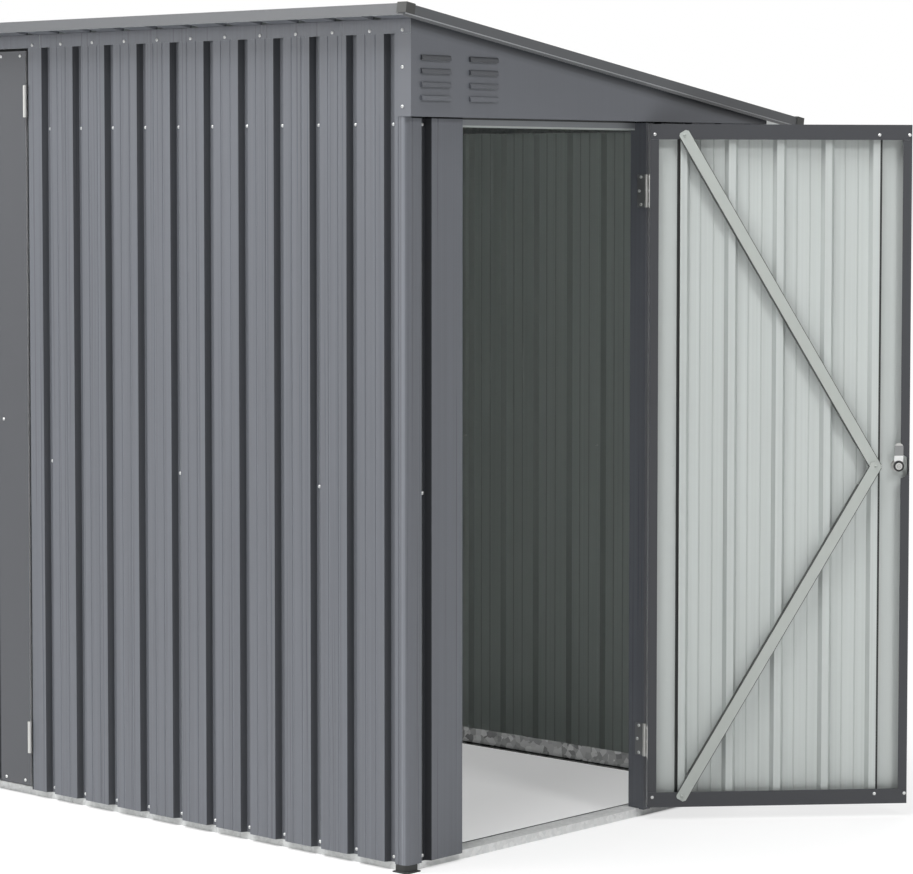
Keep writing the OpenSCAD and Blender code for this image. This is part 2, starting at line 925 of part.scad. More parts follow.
// Fixed half: leaf on the reveal, two knuckles and the pin
module fixed_hinge() {
  translate([-door_gap / 2, axis_out, 0])
    cube([hinge_leaf_t, hinge_leaf_w, hinge_h]);
  for (z = [0, hinge_h - knuckle_h]) {
    translate([-door_gap / 2, 0, z])
      cube([hinge_leaf_t, axis_out, knuckle_h]);
    translate([0, 0, z])
      cylinder(r = barrel_r, h = knuckle_h);
  }
  cylinder(r = pin_r, h = hinge_h);
}

// Moving half: leaf on the stile's edge and the middle knuckle, bored for the pin
module moving_hinge() {
  difference() {
    union() {
      translate([door_gap / 2 - hinge_leaf_t, axis_out, 0])
        cube([hinge_leaf_t, hinge_leaf_w, hinge_h]);
      translate([door_gap / 2 - hinge_leaf_t, 0, knuckle_h + knuckle_gap])
        cube([hinge_leaf_t, axis_out, knuckle_h - 2 * knuckle_gap]);
      translate([0, 0, knuckle_h + knuckle_gap])
        cylinder(r = barrel_r, h = knuckle_h - 2 * knuckle_gap);
    }
    translate([0, 0, -cut])
      cylinder(r = pin_r + pin_fit, h = hinge_h + 2 * cut);
  }
}

module fixed_hinges() {
  color(zinc) {
    place_side_frame() hinge_pair(side_leaf_h, side_hinge_inset) fixed_hinge();
    place_front_right() hinge_pair(front_leaf_h, front_hinge_inset) fixed_hinge();
    place_front_left() hinge_pair(front_leaf_h, front_hinge_inset) fixed_hinge();
  }
}

// Bays of profiled sheet that fit between a leaf's stiles, and the flat that is left at each side
function leaf_bays(leaf_w) = floor((leaf_w - 2 * stile_min - groove_top) / sheet_pitch);
function stile_flat(leaf_w) = (leaf_w - leaf_bays(leaf_w) * sheet_pitch - groove_top) / 2;

// Hole for a lock in a stile's flat, and the round notch in the lip beside it
module lock_cuts(leaf_h) {
  translate([lock_inset, 0, leaf_h * lock_rise_share])
    rotate([-fold_angle, 0, 0])
      cylinder(r = lock_r + seat, h = 2 * cut, center = true);
  intersection() {
    translate([lock_inset, door_t, leaf_h * lock_rise_share])
      rotate([-fold_angle, 0, 0])
        cylinder(r = lip_notch_r, h = 2 * cut, center = true);
    translate([sheet_t, 0, 0])
      cube([stile_lip + cut, door_t + cut, leaf_h]);
  }
}

// Stile folded from one sheet: outer flat, edge and inner lip, the lip cut short at the rails
module door_stile(leaf_w, leaf_h, locked) {
  flat_w = stile_flat(leaf_w) + (groove_top - groove_floor) / 2 + stile_lap;
  difference() {
    linear_extrude(leaf_h)
      union() {
        square([flat_w, sheet_t]);
        square([sheet_t, door_t]);
        translate([0, door_t - sheet_t])
          square([stile_lip, sheet_t]);
      }
    for (z = [-cut, leaf_h - rail_lip - seat])
      translate([sheet_t, door_t - sheet_t - cut, z])
        cube([stile_lip + cut, sheet_t + 2 * cut, rail_lip + seat + cut]);
    if (locked)
      lock_cuts(leaf_h);
  }
}

// Rail folded from one sheet: edge and inner lip
module door_rail(leaf_w) {
  inset = sheet_t + seat;
  translate([inset, inset, 0])
    cube([leaf_w - 2 * inset, door_t - inset, sheet_t]);
  translate([inset, door_t - sheet_t, 0])
    cube([leaf_w - 2 * inset, sheet_t, rail_lip]);
}

module door_frame(leaf_w, leaf_h, locked) {
  color(frame_grey)
    translate([door_gap / 2, axis_out, 0]) {
      door_stile(leaf_w, leaf_h, false);
      translate([leaf_w, 0, 0]) mirror([1, 0, 0]) door_stile(leaf_w, leaf_h, locked);
      door_rail(leaf_w);
      translate([0, 0, leaf_h]) mirror([0, 0, 1]) door_rail(leaf_w);
    }
}

// Sheet between the stiles. It ends in a free rib over the edge of each stile's flat.
module door_sheet(leaf_w, leaf_h) {
  color(inner_white)
    translate([door_gap / 2 + stile_flat(leaf_w) + groove_top / 2, axis_out, sheet_t + seat])
      linear_extrude(leaf_h - 2 * (sheet_t + seat))
        sheet_section(bay_points(leaf_bays(leaf_w), sheet_pitch, -groove_floor / 2));
}

// Outline of a brace bar of such a length between its end screws
module brace_plan(length) {
  half = brace_w / 2;
  low = -brace_end;
  high = length + brace_end;
  polygon([
    [low, half - brace_chamfer], [low, brace_chamfer - half], [low + brace_chamfer, -half],
    [high - brace_chamfer, -half], [high, brace_chamfer - half], [high, half - brace_chamfer],
    [high - brace_chamfer, half], [low + brace_chamfer, half]
  ]);
}

// Bar between two points on the inner side of a leaf. Its edges are folded over the sheet,
// but not at the rail where it starts, nor where it crosses the other bar.
module brace_bar(from, to) {
  step = to - from;
  run = sqrt(step.x * step.x + step.z * step.z);
  length = norm(step);
  edge_start = rail_lip + brace_w / 2;
  edge_end = length - 2 * brace_w;
  translate(from)
    rotate([0, -atan2(step.z, step.x), 0])
      rotate([0, 0, atan2(step.y, run)])
        rotate([-fold_angle, 0, 0]) {
          linear_extrude(brace_t)
            brace_plan(length);
          for (side = [0, 1])
            mirror([0, side, 0])
              translate([edge_start, brace_w / 2 - brace_t, -brace_edge])
                cube([edge_end - edge_start, brace_t, brace_edge + brace_t]);
        }
}

// Two bars that run from the rails beside the hinges to the rib beside the lock stile
module door_brace(leaf_w, leaf_h) {
  near = door_gap / 2 + stile_flat(leaf_w) + groove_top / 2;
  far = near + leaf_bays(leaf_w) * sheet_pitch;
  on_lip = axis_out + door_t + brace_lap;
  on_bar = on_lip + brace_t + brace_lap;
  middle = leaf_h / 2;
  color(brace_grey) {
    brace_bar([near, on_lip, leaf_h - rail_lip * brace_end_share], [far, on_lip, middle]);
    brace_bar([near, on_lip, rail_lip * brace_end_share], [far, on_bar, middle]);
  }
}

module side_door_frame() {
  place_side_door() door_frame(side_leaf_w, side_leaf_h, true);
}

module side_door_sheet() {
  place_side_door() door_sheet(side_leaf_w, side_leaf_h);
}

module side_door_brace() {
  place_side_door() door_brace(side_leaf_w, side_leaf_h);
}

module side_door_lock() {
  place_side_door() door_lock(side_leaf_w, side_leaf_h);
}

module side_door_hinges() {
  color(zinc) place_side_door() hinge_pair(side_leaf_h, side_hinge_inset) moving_hinge();
}

module front_right_frame() {
  place_front_right() door_frame(front_leaf_w, front_leaf_h, true);
}

module front_right_sheet() {
  place_front_right() door_sheet(front_leaf_w, front_leaf_h);
}

module front_right_brace() {
  place_front_right() door_brace(front_leaf_w, front_leaf_h);
}

module front_right_lock() {
  place_front_right() door_lock(front_leaf_w, front_leaf_h);
}

module front_right_hinges() {
  color(zinc) place_front_right() hinge_pair(front_leaf_h, front_hinge_inset) moving_hinge();
}

module front_left_frame() {
  place_front_left() door_frame(front_leaf_w, front_leaf_h, false);
}

module front_left_sheet() {
  place_front_left() door_sheet(front_leaf_w, front_leaf_h);
}

module front_left_brace() {
  place_front_left() door_brace(front_leaf_w, front_leaf_h);
}

module front_left_hinges() {
  color(zinc) place_front_left() hinge_pair(front_leaf_h, front_hinge_inset) moving_hinge();
}

// Cam lock in the middle of the lock stile: a cylinder through the flat with a ring outside and
// a nut inside, a cam whose tab lies over the lip, and the nut and screw that hold the cam
module door_lock(leaf_w, leaf_h) {
  cam_y = door_t + seat;
  color(zinc)
    translate([door_gap / 2 + leaf_w - lock_inset, axis_out, leaf_h * lock_rise_share]) {
      difference() {
        rotate([-fold_angle, 0, 0]) {
          translate([0, 0, -lock_ring_t])
            cylinder(r = lock_ring_r, h = lock_ring_t - seat);
          translate([0, 0, sheet_t + seat])
            cylinder(r = lock_nut_r, h = lock_nut_t);
          translate([0, 0, -lock_ring_t])
            cylinder(r = lock_r, h = lock_ring_t + cam_y);
        }
        translate([-key_slot_w / 2, -lock_ring_t - cut, -key_slot_l / 2])
          cube([key_slot_w, lock_ring_t + cut - seat, key_slot_l]);
      }
      rotate([-fold_angle, 0, 0]) {
        translate([0, 0, cam_y - cam_t])
          linear_extrude(cam_t)
            cam_plan(0, 0, cam_bend);
        translate([0, 0, cam_y])
          linear_extrude(cam_t)
            cam_plan(cam_l - cam_w / 2, cam_step, cam_l - cam_w / 2);
        translate([0, 0, cam_y - cam_t])
          cylinder(r = cam_nut_r, h = cam_t + cam_nut_t);
        translate([0, 0, cam_y - cam_t])
          cylinder(r = cam_screw_r, h = cam_t + cam_nut_t + cam_screw_t);
      }
    }
}

// Half of a cam: a bar between two heights above the lock, with its round end at one of them
module cam_plan(middle, low, high) {
  translate([0, -middle])
    circle(cam_w / 2);
  translate([-cam_w / 2, -high])
    square([cam_w, high - low]);
}

base_rail_front();
base_rail_rear();
base_rail_left();
base_rail_right();
corner_feet();
front_wall_panels();
corner_panel_front_right();
corner_panel_front_left();
corner_panel_rear_right();
corner_panel_rear_left();
left_wall_panels();
rear_wall_panels();
front_jamb_right();
front_jamb_left();
side_jamb();
side_hinge_post();
side_lintel();
front_header();
front_inner_rail();
front_top_rail();
left_top_rail();
rear_top_rail();
front_fascia();
rear_fascia();
gable_right();
gable_left();
roof_purlin();
roof_panels();
roof_trim_front();
roof_trim_rear();
verge_trim_right();
verge_trim_left();
roof_corner_caps();
fixed_hinges();
side_door_frame();
side_door_sheet();
side_door_brace();
side_door_lock();
side_door_hinges();
front_right_frame();
front_right_sheet();
front_right_brace();
front_right_lock();
front_right_hinges();
front_left_frame();
front_left_sheet();
front_left_brace();
front_left_hinges();
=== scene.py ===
"""Looks of the lean-to storage shed: two-sided paint, zinc, screws, studio and camera."""

import json
import math

import bmesh
import bpy
from mathutils import Matrix, Vector


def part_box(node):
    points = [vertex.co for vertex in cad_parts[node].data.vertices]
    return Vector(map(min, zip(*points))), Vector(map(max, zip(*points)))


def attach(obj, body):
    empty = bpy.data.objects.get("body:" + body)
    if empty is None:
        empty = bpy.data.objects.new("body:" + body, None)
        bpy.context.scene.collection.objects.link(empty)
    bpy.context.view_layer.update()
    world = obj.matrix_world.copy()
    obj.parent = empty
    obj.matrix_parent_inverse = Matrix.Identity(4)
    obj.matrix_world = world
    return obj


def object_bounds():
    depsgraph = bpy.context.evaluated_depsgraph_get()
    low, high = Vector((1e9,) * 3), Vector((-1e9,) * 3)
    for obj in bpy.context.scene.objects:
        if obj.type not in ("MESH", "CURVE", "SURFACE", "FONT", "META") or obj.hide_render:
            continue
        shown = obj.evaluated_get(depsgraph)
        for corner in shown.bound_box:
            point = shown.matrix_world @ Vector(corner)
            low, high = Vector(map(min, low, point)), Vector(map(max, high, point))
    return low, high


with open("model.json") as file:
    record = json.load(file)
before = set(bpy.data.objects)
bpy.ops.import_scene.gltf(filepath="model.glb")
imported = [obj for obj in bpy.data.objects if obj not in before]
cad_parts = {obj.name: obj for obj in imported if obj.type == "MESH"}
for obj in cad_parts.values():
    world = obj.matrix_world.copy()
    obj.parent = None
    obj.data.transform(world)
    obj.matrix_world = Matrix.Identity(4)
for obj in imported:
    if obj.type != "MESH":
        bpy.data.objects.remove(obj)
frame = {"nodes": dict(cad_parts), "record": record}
cad_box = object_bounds()

# Rolled sheet: grooves, and bays of a corner and of a panel. All sizes are in metres.
SHEET_PITCH = 0.119
GROOVE_DEPTH = 0.014
GROOVE_TOP = 0.033
GROOVE_FLOOR = 0.017
CORNER_FIRST = 0.0535
CORNER_REACH = 0.016
FOLD_OUT = 0.1
CORNER_BAYS = 2
PANEL_BAYS = 4
LEFT_SEAMS = (2, 5, 8)

# Screws of the walls, of the strip over the front wall and of the roof
FOOT_ROW = 0.030
UPPER_ROW = 1.693
STRIP_ROW = 1.9025
SEAM_ROW = 0.860
FLANGE_ROWS = (1.732, 1.820)
FLANGE_INSET = 0.011
JAMB_INSET = 0.0215
DOORWAY_INSETS = (0.10, 0.25)
DOORWAY_PITCH = 0.30
ROOF_ROWS = (0.05, 0.5, 0.95)
ROOF_END = 0.01

# Door leaf: frame, end ribs of its sheet, screws and hinges
DOOR_DEPTH = 0.026
DOOR_CLEARANCE = 0.0065
STILE_MIN = 0.060
# Width of the painted highlight on a door frame's hinge edge
LEAF_EDGE = 0.0005
# Bands of painted shadow on the stiles' backs beside the sheet's end ribs
STILE_SHADOW_BANDS = ((-0.006, 0.004), (-0.006, 0.008))
RIB_SIDE_INSET = 0.0008
RIB_SIDE_THICKNESS = 0.0010
RIB_SIDE_DEPTHS = (0.0011, 0.0139)
RIB_SIDE_END = 0.0014
OUTER_RISE = 0.012
OUTER_INSET = 0.021
SIDE_SECOND = 0.065
FRONT_SECOND = 0.096
INNER_RISE = 0.025
INNER_HINGE_INSET = 0.012
INNER_LOCK_INSETS = (0.081, 0.006)
HINGE_LEAF = 0.0015
HINGE_HALF = 0.040
HINGE_SCREWS = ((-0.0335, 0.0145), (0.0, 0.0195), (0.0335, 0.0145))
HINGE_PLATE = (0.05, 0.001)

# Brace bars and the bands of painted shadow at their edges, and the lock: radii of its nut and
# rings, heights of its bend with a painted highlight and of its tab
BAR_TOP = 0.0024
BAR_END = 0.0266
BAR_EDGE_SHADOW_BANDS = ((-0.0151, -0.0126), (0.0136, 0.0151))
LOCK_INSET = 0.027
LOCK_NUT = (0.0086, 0.0138)
LOCK_RINGS = ((0.0, 0.0013), (0.0036, 0.0048))
LOCK_BEND_HIGHLIGHT = (0.012, 0.026)
LOCK_TAB = (0.026, 0.051)

# Roof, gable, sill, and the bands of painted shadow and painted highlight along their edges
EAVES = (1.928, 1.719)
ROOF_OVERHANG = 0.004
GABLE_OUT = 0.015
GABLE_SEAM = 1.710
LOUVRE_ROWS = (1.746, 1.850)
HOOD_START = 0.0006
VERGE_SHADOW_FADE = (0.030, 0.008)
VERGE_BEND_HIGHLIGHT = (0.0004, 0.0030)
LINTEL_HEM = 0.004
GABLE_SHADOW_BAND = 0.0036
DOORWAY_SHADOW_BAND = 0.0040
SILL_BACK = 0.0723
SILL_SHADOW_LINE = (-0.001, 0.007)
FOOT_SHADOW_LINE = 0.0035

# Screws as they are made
SCREW_FACETS = 14
SCREW_SIZES = (("Head Radius", 0.0040), ("Head Height", 0.0026), ("Slot Length", 0.0044),
               ("Slot Width", 0.0009), ("Slot Depth", 0.0010), ("Shank Radius", 0.0017),
               ("Shank Length", 0.0120))
SCREW_HEAD_HALF = 0.0013
SCREW_TIP = 0.0003
SHANK_FACETS = 6
DOME_RINGS = 6
DOME_POWER = 3.0
DOME_TAPER = 0.45
FULL_HEAD = 1.0
HINGE_HEAD = 0.45

# Colours, as linear values
GREY_PAINT = (0.128, 0.136, 0.154, 1.0)
TRIM_PAINT = (0.084, 0.088, 0.094, 1.0)
DARK_PAINT = (0.042, 0.044, 0.050, 1.0)
FRAME_FACE = (0.066, 0.069, 0.077, 1.0)
OFF_WHITE = (0.580, 0.616, 0.602, 1.0)
WALL_BACK = (0.600, 0.648, 0.622, 1.0)
# Lintel grey made paler than the walls' paint, as painted light
LINTEL_PAINT_LIGHTENED = (0.270, 0.285, 0.300, 1.0)
# Verge lip: a paler grey as painted light from below, and a painted highlight along its bend
HEM_GREY_LIGHTENED = (0.110, 0.114, 0.119, 1.0)
HEM_HIGHLIGHT = (0.330, 0.340, 0.350, 1.0)
# Painted highlight on a door frame's hinge edge
EDGE_HIGHLIGHT = (0.420, 0.430, 0.440, 1.0)
BRACE_PAINT = (0.470, 0.500, 0.475, 1.0)
ZINC_PALE = (0.700, 0.710, 0.705, 1.0)
ZINC_DEEP = (0.480, 0.490, 0.490, 1.0)
# Zinc made paler for the sill and the blotched rails, as painted light
ZINC_PALE_LIGHTENED = (0.970, 0.975, 0.970, 1.0)
SILL_DEEP_LIGHTENED = (0.760, 0.770, 0.770, 1.0)
ZINC_DULL = (0.100, 0.103, 0.106, 1.0)
# Near black of painted shadow: lines at the sill and at the rails' foot, and the doors' rib gaps
SHADOW_LINE_DARK = (0.020, 0.020, 0.021, 1.0)
SCREW_ZINC = (0.800, 0.805, 0.800, 1.0)
HINGE_ZINC = (0.560, 0.560, 0.545, 1.0)
PLATE_ZINC = (0.230, 0.235, 0.240, 1.0)
CAM_DULL = (0.270, 0.275, 0.275, 1.0)
NUT_BLACK = (0.012, 0.012, 0.013, 1.0)
CAP_PLASTIC = (0.046, 0.047, 0.045, 1.0)
FOOT_PLASTIC = (0.020, 0.021, 0.021, 1.0)
FLOOR_PALE = (0.900, 0.900, 0.900, 1.0)
WHITE = (1.0, 1.0, 1.0, 1.0)

# Inner and outer coat of a sheet: roughness and streaks, and the shine of its paint
COAT_ROUGHNESS = (0.55, 0.38)
COAT_STREAKS = (0.18, 0.46)
COAT_SHINE = 0.42
STREAK_STRETCH = (150.0, 150.0, 0.7)
STREAK_ROUGHNESS = 1.5

# Other coats: roughness and streaks
SHEET_COAT = (0.40, 0.10)
TRIM_COAT = (0.42, 0.10)
FRAME_COAT = (0.42, 0.05)
HEM_COAT = (0.40, 0.06)
HEADER_COAT = (0.40, 0.05)
BRACE_COAT = (0.45, 0.05)
GAP_SHADOW_COAT = (0.50, 0.05)

# Speckled metal and plastic: roughness and amount of speckle
SCREW_GRAIN = (0.30, 0.08)
LOCK_GRAIN = (0.32, 0.08)
HINGE_GRAIN = (0.36, 0.10)
CAP_GRAIN = (0.55, 0.14)
FOOT_GRAIN = (0.60, 0.14)

# How metallic a metal is
SCREW_METAL = 0.35
LOCK_METAL = 0.80
HINGE_METAL = 0.60
RAIL_METAL = 0.20
SILL_METAL = 0.10
BLOTCHED_METAL = 0.85

# Noises, as scale and detail, and how far they bend, blend and roughen the crystals of zinc
STREAK_NOISE = (1.0, 3.0)
MOTTLE_NOISE = (3.0, 2.0)
PEEL_NOISE = (700.0, 1.0)
BEND_NOISE = (60.0, 2.0)
BLOOM_NOISE = (9.0, 3.0)
BROAD_NOISE = (40.0, 2.0)
GRAIN_DETAIL = 2.0
CRYSTAL_BEND = 0.008
BLOOM_SHARE = 0.35
TONE_ROUGHNESS = 0.14
BLOTCH_SCALE = 60.0

# Depth of a surface's fine relief, and how strongly it shows
COAT_RELIEF = 0.00004
ZINC_RELIEF = 0.00008
GRAIN_RELIEF = 0.00003
RELIEF_STRENGTH = 0.3

# Painted shadow: share of its own colour that is left under the gable and beside the front doorway,
# in a door's seams, on a bar's edges, on the louvres' hoods and under the verge
PAINTED_SHADOW_SHARE = 0.10
STILE_PAINTED_SHADOW = 0.05
BAR_EDGE_PAINTED_SHADOW = 0.10
LOUVRE_PAINTED_SHADES = (0.95, 0.40)
VERGE_PAINTED_SHADOW = 0.55

# Share of plain white that the floor shows inside the walls and beside them, and where it changes.
# There it is painted light that lifts the floor's shade.
FLOOR_PAINTED_LIGHT = (0.38, 0.75)
FLOOR_EDGE = 0.015
FLOOR_FAR = 3.5
FLOOR_RADIUS = 60.0
FLOOR_FACETS = 96
FLOOR_ROUGHNESS = 0.9

# Painted shade: share of its own colour that is left in the sides and the floor of a groove
GROOVE_PAINTED_SHADE = (0.41, 0.78)
# Near-black painted shade in the groove between the right wall's front corner and the side jamb
SEAM_GROOVE_PAINTED_SHADE = (0.20, 0.22)

# Painted highlight: share that a bead's lit side gains; painted shade: share that is left on the
# slants of a sheet's back
BEAD_PAINTED_HIGHLIGHT = 0.30
WALL_SLANT_PAINTED_SHADE = 0.66
DOOR_SLANT_PAINTED_SHADE = 0.86

# Cosines that part faces by how far they look along a direction
PAINTED_FACING = 0.02
SIDE_FACING = 0.2
FLAT_FACING = 0.7
BEAD_FACING = 0.3
BACK_FLAT_FACING = -0.95
LIP_FACING = 0.85
BAR_FACING = 0.5
FOOT_FACING = -0.5

# Share of a groove's depth at which its floor starts
FLOOR_FROM = 0.7

# Name, place, width and height, and watts of each lamp. The fills light sides out of view.
LAMPS = (
    ("key_left", (-3.5, -6.5, 4.2), (4.5, 3.0), 235),
    ("overhead", (0.5, -1.5, 7.0), (5.0, 4.0), 740),
    ("key_right", (7.5, -0.6, 6.2), (1.4, 1.4), 180),
    ("fill_rear", (-1.0, 8.0, 4.5), (4.0, 3.0), 260),
    ("fill_left", (-8.0, 1.6, 4.0), (3.0, 3.0), 200),
)
SURROUND = 0.05

# Camera from the near corner's foot, in metres, degrees and pixels of the photograph
IMAGE_W = 913
CAMERA_OFFSET = (4.798, -5.024, 1.579)
CAMERA_TURNS = (-41.65, -3.35, 0.092)
FOCAL_PX = 3104
SHIFT_PX = (60, -80)
SENSOR_MM = 36.0

UP = Vector((0, 0, 1))
NORTH = Vector((0, 1, 0))
EAST = Vector((1, 0, 0))

# How far the painted side of a folded sheet leans to its folds
JAMB_LEAN = 0.3
GABLE_LEAN = -NORTH * 0.5 - UP * 0.2
TRIM_LEAN = UP * 0.5

# Limits that leave a band open
FAR = 100.0
ANY_FACING = -2.0

# Kinds of a group's sockets: inputs by the length of their value, outputs by name, or else a value
VALUE = "NodeSocketFloat"
INPUT_KINDS = {3: "NodeSocketVector", 4: "NodeSocketColor"}
OUTPUT_KINDS = {"Outward": "NodeSocketVector", "Colour": "NodeSocketColor"}

joints = {joint["name"]: joint for joint in frame["record"]["behaviour"]["joints"]}


def wall_planes():
    """Outer planes of the four walls, from the frame."""
    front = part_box("front_wall_panels")[0].y
    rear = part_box("rear_wall_panels")[1].y
    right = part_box("side_jamb")[1].x
    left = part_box("left_wall_panels")[0].x
    return front, rear, left, right


FRONT, REAR, LEFT, RIGHT = wall_planes()


# Node helpers

def add_node(tree, kind, values=None, **settings):
    """Adds one node. settings are its own properties, values sets or links its inputs."""
    made = tree.nodes.new(kind)
    for name, value in settings.items():
        setattr(made, name, value)
    for key, value in (values or {}).items():
        if isinstance(value, bpy.types.NodeSocket):
            tree.links.new(value, made.inputs[key])
        else:
            made.inputs[key].default_value = value
    return made


def math_node(tree, operation, first, second=0.0):
    """Result of an operation on two values, in a shader or a geometry tree."""
    return add_node(tree, "ShaderNodeMath", {0: first, 1: second}, operation=operation).outputs[0]


def math_helper(operation):
    """Function that adds one operation on two values to a tree, and gives its result."""
    return lambda tree, first, second: math_node(tree, operation, first, second)


times, plus, minus, larger = map(math_helper, ("MULTIPLY", "ADD", "SUBTRACT", "MAXIMUM"))
above, below = map(math_helper, ("GREATER_THAN", "LESS_THAN"))


def between(tree, value, low, high):
    """Mask of a value between two limits."""
    return times(tree, above(tree, value, low), below(tree, value, high))


def vector_math(tree, operation, values):
    """Outputs of an operation on vectors."""
    return add_node(tree, "ShaderNodeVectorMath", values, operation=operation).outputs


def dot_node(tree, first, second):
    """Dot product of two vectors."""
    return vector_math(tree, "DOT_PRODUCT", {0: first, 1: second})["Value"]


def offset_from(tree, place, origin):
    """Vector from an origin to a place."""
    return vector_math(tree, "SUBTRACT", {0: place, 1: origin})[0]


def scaled(tree, colour, factor):
    """A colour or a vector times a factor."""
    if not isinstance(colour, bpy.types.NodeSocket):
        colour = colour[:3]
    return vector_math(tree, "SCALE", {0: colour, "Scale": factor})[0]


def parts_of(tree, vector):
    """X, Y and Z of a vector."""
    return add_node(tree, "ShaderNodeSeparateXYZ", {0: vector}).outputs


def vector_of(tree, parts):
    """Vector of some of its parts, counted from 0."""
    return add_node(tree, "ShaderNodeCombineXYZ", parts).outputs[0]


def mix_value(tree, share, first, second):
    """Value between two values."""
    values = {0: share, 2: first, 3: second}
    return add_node(tree, "ShaderNodeMix", values, data_type="FLOAT").outputs[0]


def mix_colour(tree, share, first, second):
    """Colour between two colours."""
    values = {0: share, 6: first, 7: second}
    return add_node(tree, "ShaderNodeMix", values, data_type="RGBA").outputs[2]


def ramp(tree, value, span, ends, **settings):
    """Value that runs between two ends while another runs over a span."""
    values = {0: value, 1: span[0], 2: span[1], 3: ends[0], 4: ends[1]}
    return add_node(tree, "ShaderNodeMapRange", values, **settings).outputs[0]


def coordinates(tree):
    """Texture coordinates, of which Object and Normal are used."""
    return add_node(tree, "ShaderNodeTexCoord").outputs


def noise(tree, where, scale, detail):
    """Outputs of a noise texture."""
    values = {"Vector": where, "Scale": scale, "Detail": detail}
    return add_node(tree, "ShaderNodeTexNoise", values).outputs


def new_group(name, inputs):
    """An empty shader group with named inputs and their values, and the inputs' sockets inside."""
    group = bpy.data.node_groups.new(name, "ShaderNodeTree")
    for label, value in inputs.items():
        kind = VALUE if isinstance(value, float) else INPUT_KINDS[len(value)]
        group.interface.new_socket(label, in_out="INPUT", socket_type=kind).default_value = value
    return group, group.nodes.new("NodeGroupInput").outputs


def end_group(group, results):
    """Ends a group with named outputs, each fed by a socket."""
    for label in results:
        kind = OUTPUT_KINDS.get(label, VALUE)
        group.interface.new_socket(label, in_out="OUTPUT", socket_type=kind)
    last = group.nodes.new("NodeGroupOutput")
    for label, source in results.items():
        group.links.new(source, last.inputs[label])
    return group


def place_group(tree, group, values):
    """Puts a group into a material with its own values, and gives its outputs."""
    return add_node(tree, "ShaderNodeGroup", values, node_tree=group).outputs


# Shared effects

def rolled_coat_group():
    """Streaks along the rolling direction, slow mottle and fine orange peel of a coated sheet."""
    group, given = new_group("rolled_coat", {
        "Colour": WHITE, "Streaks": 0.06, "Mottle": 0.05, "Roughness": 0.4})
    where = coordinates(group)["Object"]
    stretched = add_node(group, "ShaderNodeMapping", {"Vector": where, "Scale": STREAK_STRETCH})
    streak = minus(group, noise(group, stretched.outputs[0], *STREAK_NOISE)["Fac"], 0.5)
    mottle = minus(group, noise(group, where, *MOTTLE_NOISE)["Fac"], 0.5)
    streak = times(group, streak, given["Streaks"])
    mottle = times(group, mottle, given["Mottle"])
    shade = plus(group, plus(group, streak, mottle), 1.0)
    return end_group(group, {
        "Colour": scaled(group, given["Colour"], shade),
        "Roughness": plus(group, given["Roughness"], times(group, streak, STREAK_ROUGHNESS)),
        "Height": noise(group, where, *PEEL_NOISE)["Fac"]})


def corner_aim_group():
    """Outer direction and plane of a sheet folded round a corner, and a mask of its side arm."""
    group, given = new_group("corner_aim", {
        "Corner": (0.0, 0.0, 0.0), "Outward": (1.0, -1.0, 0.0)})
    inset = offset_from(group, given["Corner"], coordinates(group)["Object"])
    depths = parts_of(group, vector_math(group, "MULTIPLY", {0: inset, 1: given["Outward"]})[0])
    front_arm = above(group, depths["X"], CORNER_REACH)
    share_x = minus(group, 1.0, front_arm)
    side_arm = times(group, above(group, depths["Y"], CORNER_REACH), share_x)
    share_y = minus(group, 1.0, side_arm)
    aims = parts_of(group, given["Outward"])
    shares = {0: times(group, aims["X"], share_x), 1: times(group, aims["Y"], share_y)}
    aim = vector_of(group, shares)
    # The fold itself, on neither arm, counts as far outside its plane, so that it holds no groove
    on_fold = times(group, times(group, share_x, share_y), FOLD_OUT)
    plane = minus(group, dot_node(group, given["Corner"], aim), on_fold)
    return end_group(group, {"Outward": aim, "Plane": plane, "Side Arm": side_arm})


def groove_shade_group():
    """Share of a sheet's colour in its grooves and on its lit beads, and on its back's slants:
    painted shade in the grooves and on the slants, a painted highlight on the beads.
    """
    group, given = new_group("groove_shade", {
        "Outward": -NORTH, "Plane": 0.0, "Sides": 1.0, "Floor": 1.0, "Beads": BEAD_PAINTED_HIGHLIGHT,
        "Slants": WALL_SLANT_PAINTED_SHADE})
    coordinate = coordinates(group)
    looks = dot_node(group, coordinate["Normal"], given["Outward"])
    depth = minus(group, given["Plane"], dot_node(group, coordinate["Object"], given["Outward"]))
    flat = above(group, looks, FLAT_FACING)
    side = minus(group, above(group, looks, SIDE_FACING), flat)
    floor = times(group, flat, above(group, depth, GROOVE_DEPTH * FLOOR_FROM))
    # Painted shade in the sides and the floors of the grooves
    lost = plus(group, times(group, side, minus(group, 1.0, given["Sides"])),
                times(group, floor, minus(group, 1.0, given["Floor"])))
    lit = vector_math(group, "CROSS_PRODUCT", {0: given["Outward"], 1: UP})[0]
    towards = dot_node(group, coordinate["Normal"], lit)
    # Painted highlight on the side of each bead that looks towards the lit direction
    bead = times(group, flat, above(group, towards, BEAD_FACING))
    shade = plus(group, minus(group, 1.0, lost), times(group, bead, given["Beads"]))
    # Painted shade on the slants of the sheet's back
    slant = between(group, looks, BACK_FLAT_FACING, -SIDE_FACING)
    dimmed = times(group, slant, minus(group, 1.0, given["Slants"]))
    return end_group(group, {"Shade": shade, "Back": minus(group, 1.0, dimmed)})


def band_group():
    """Mask of a band between two places along a direction, on faces that look along it enough."""
    group, given = new_group("band_mask", {
        "Outward": UP, "Low": -FAR, "High": FAR, "Least Facing": ANY_FACING})
    coordinate = coordinates(group)
    place = dot_node(group, coordinate["Object"], given["Outward"])
    looks = dot_node(group, coordinate["Normal"], given["Outward"])
    within = between(group, place, given["Low"], given["High"])
    return end_group(group, {
        "Mask": times(group, within, above(group, looks, given["Least Facing"]))})


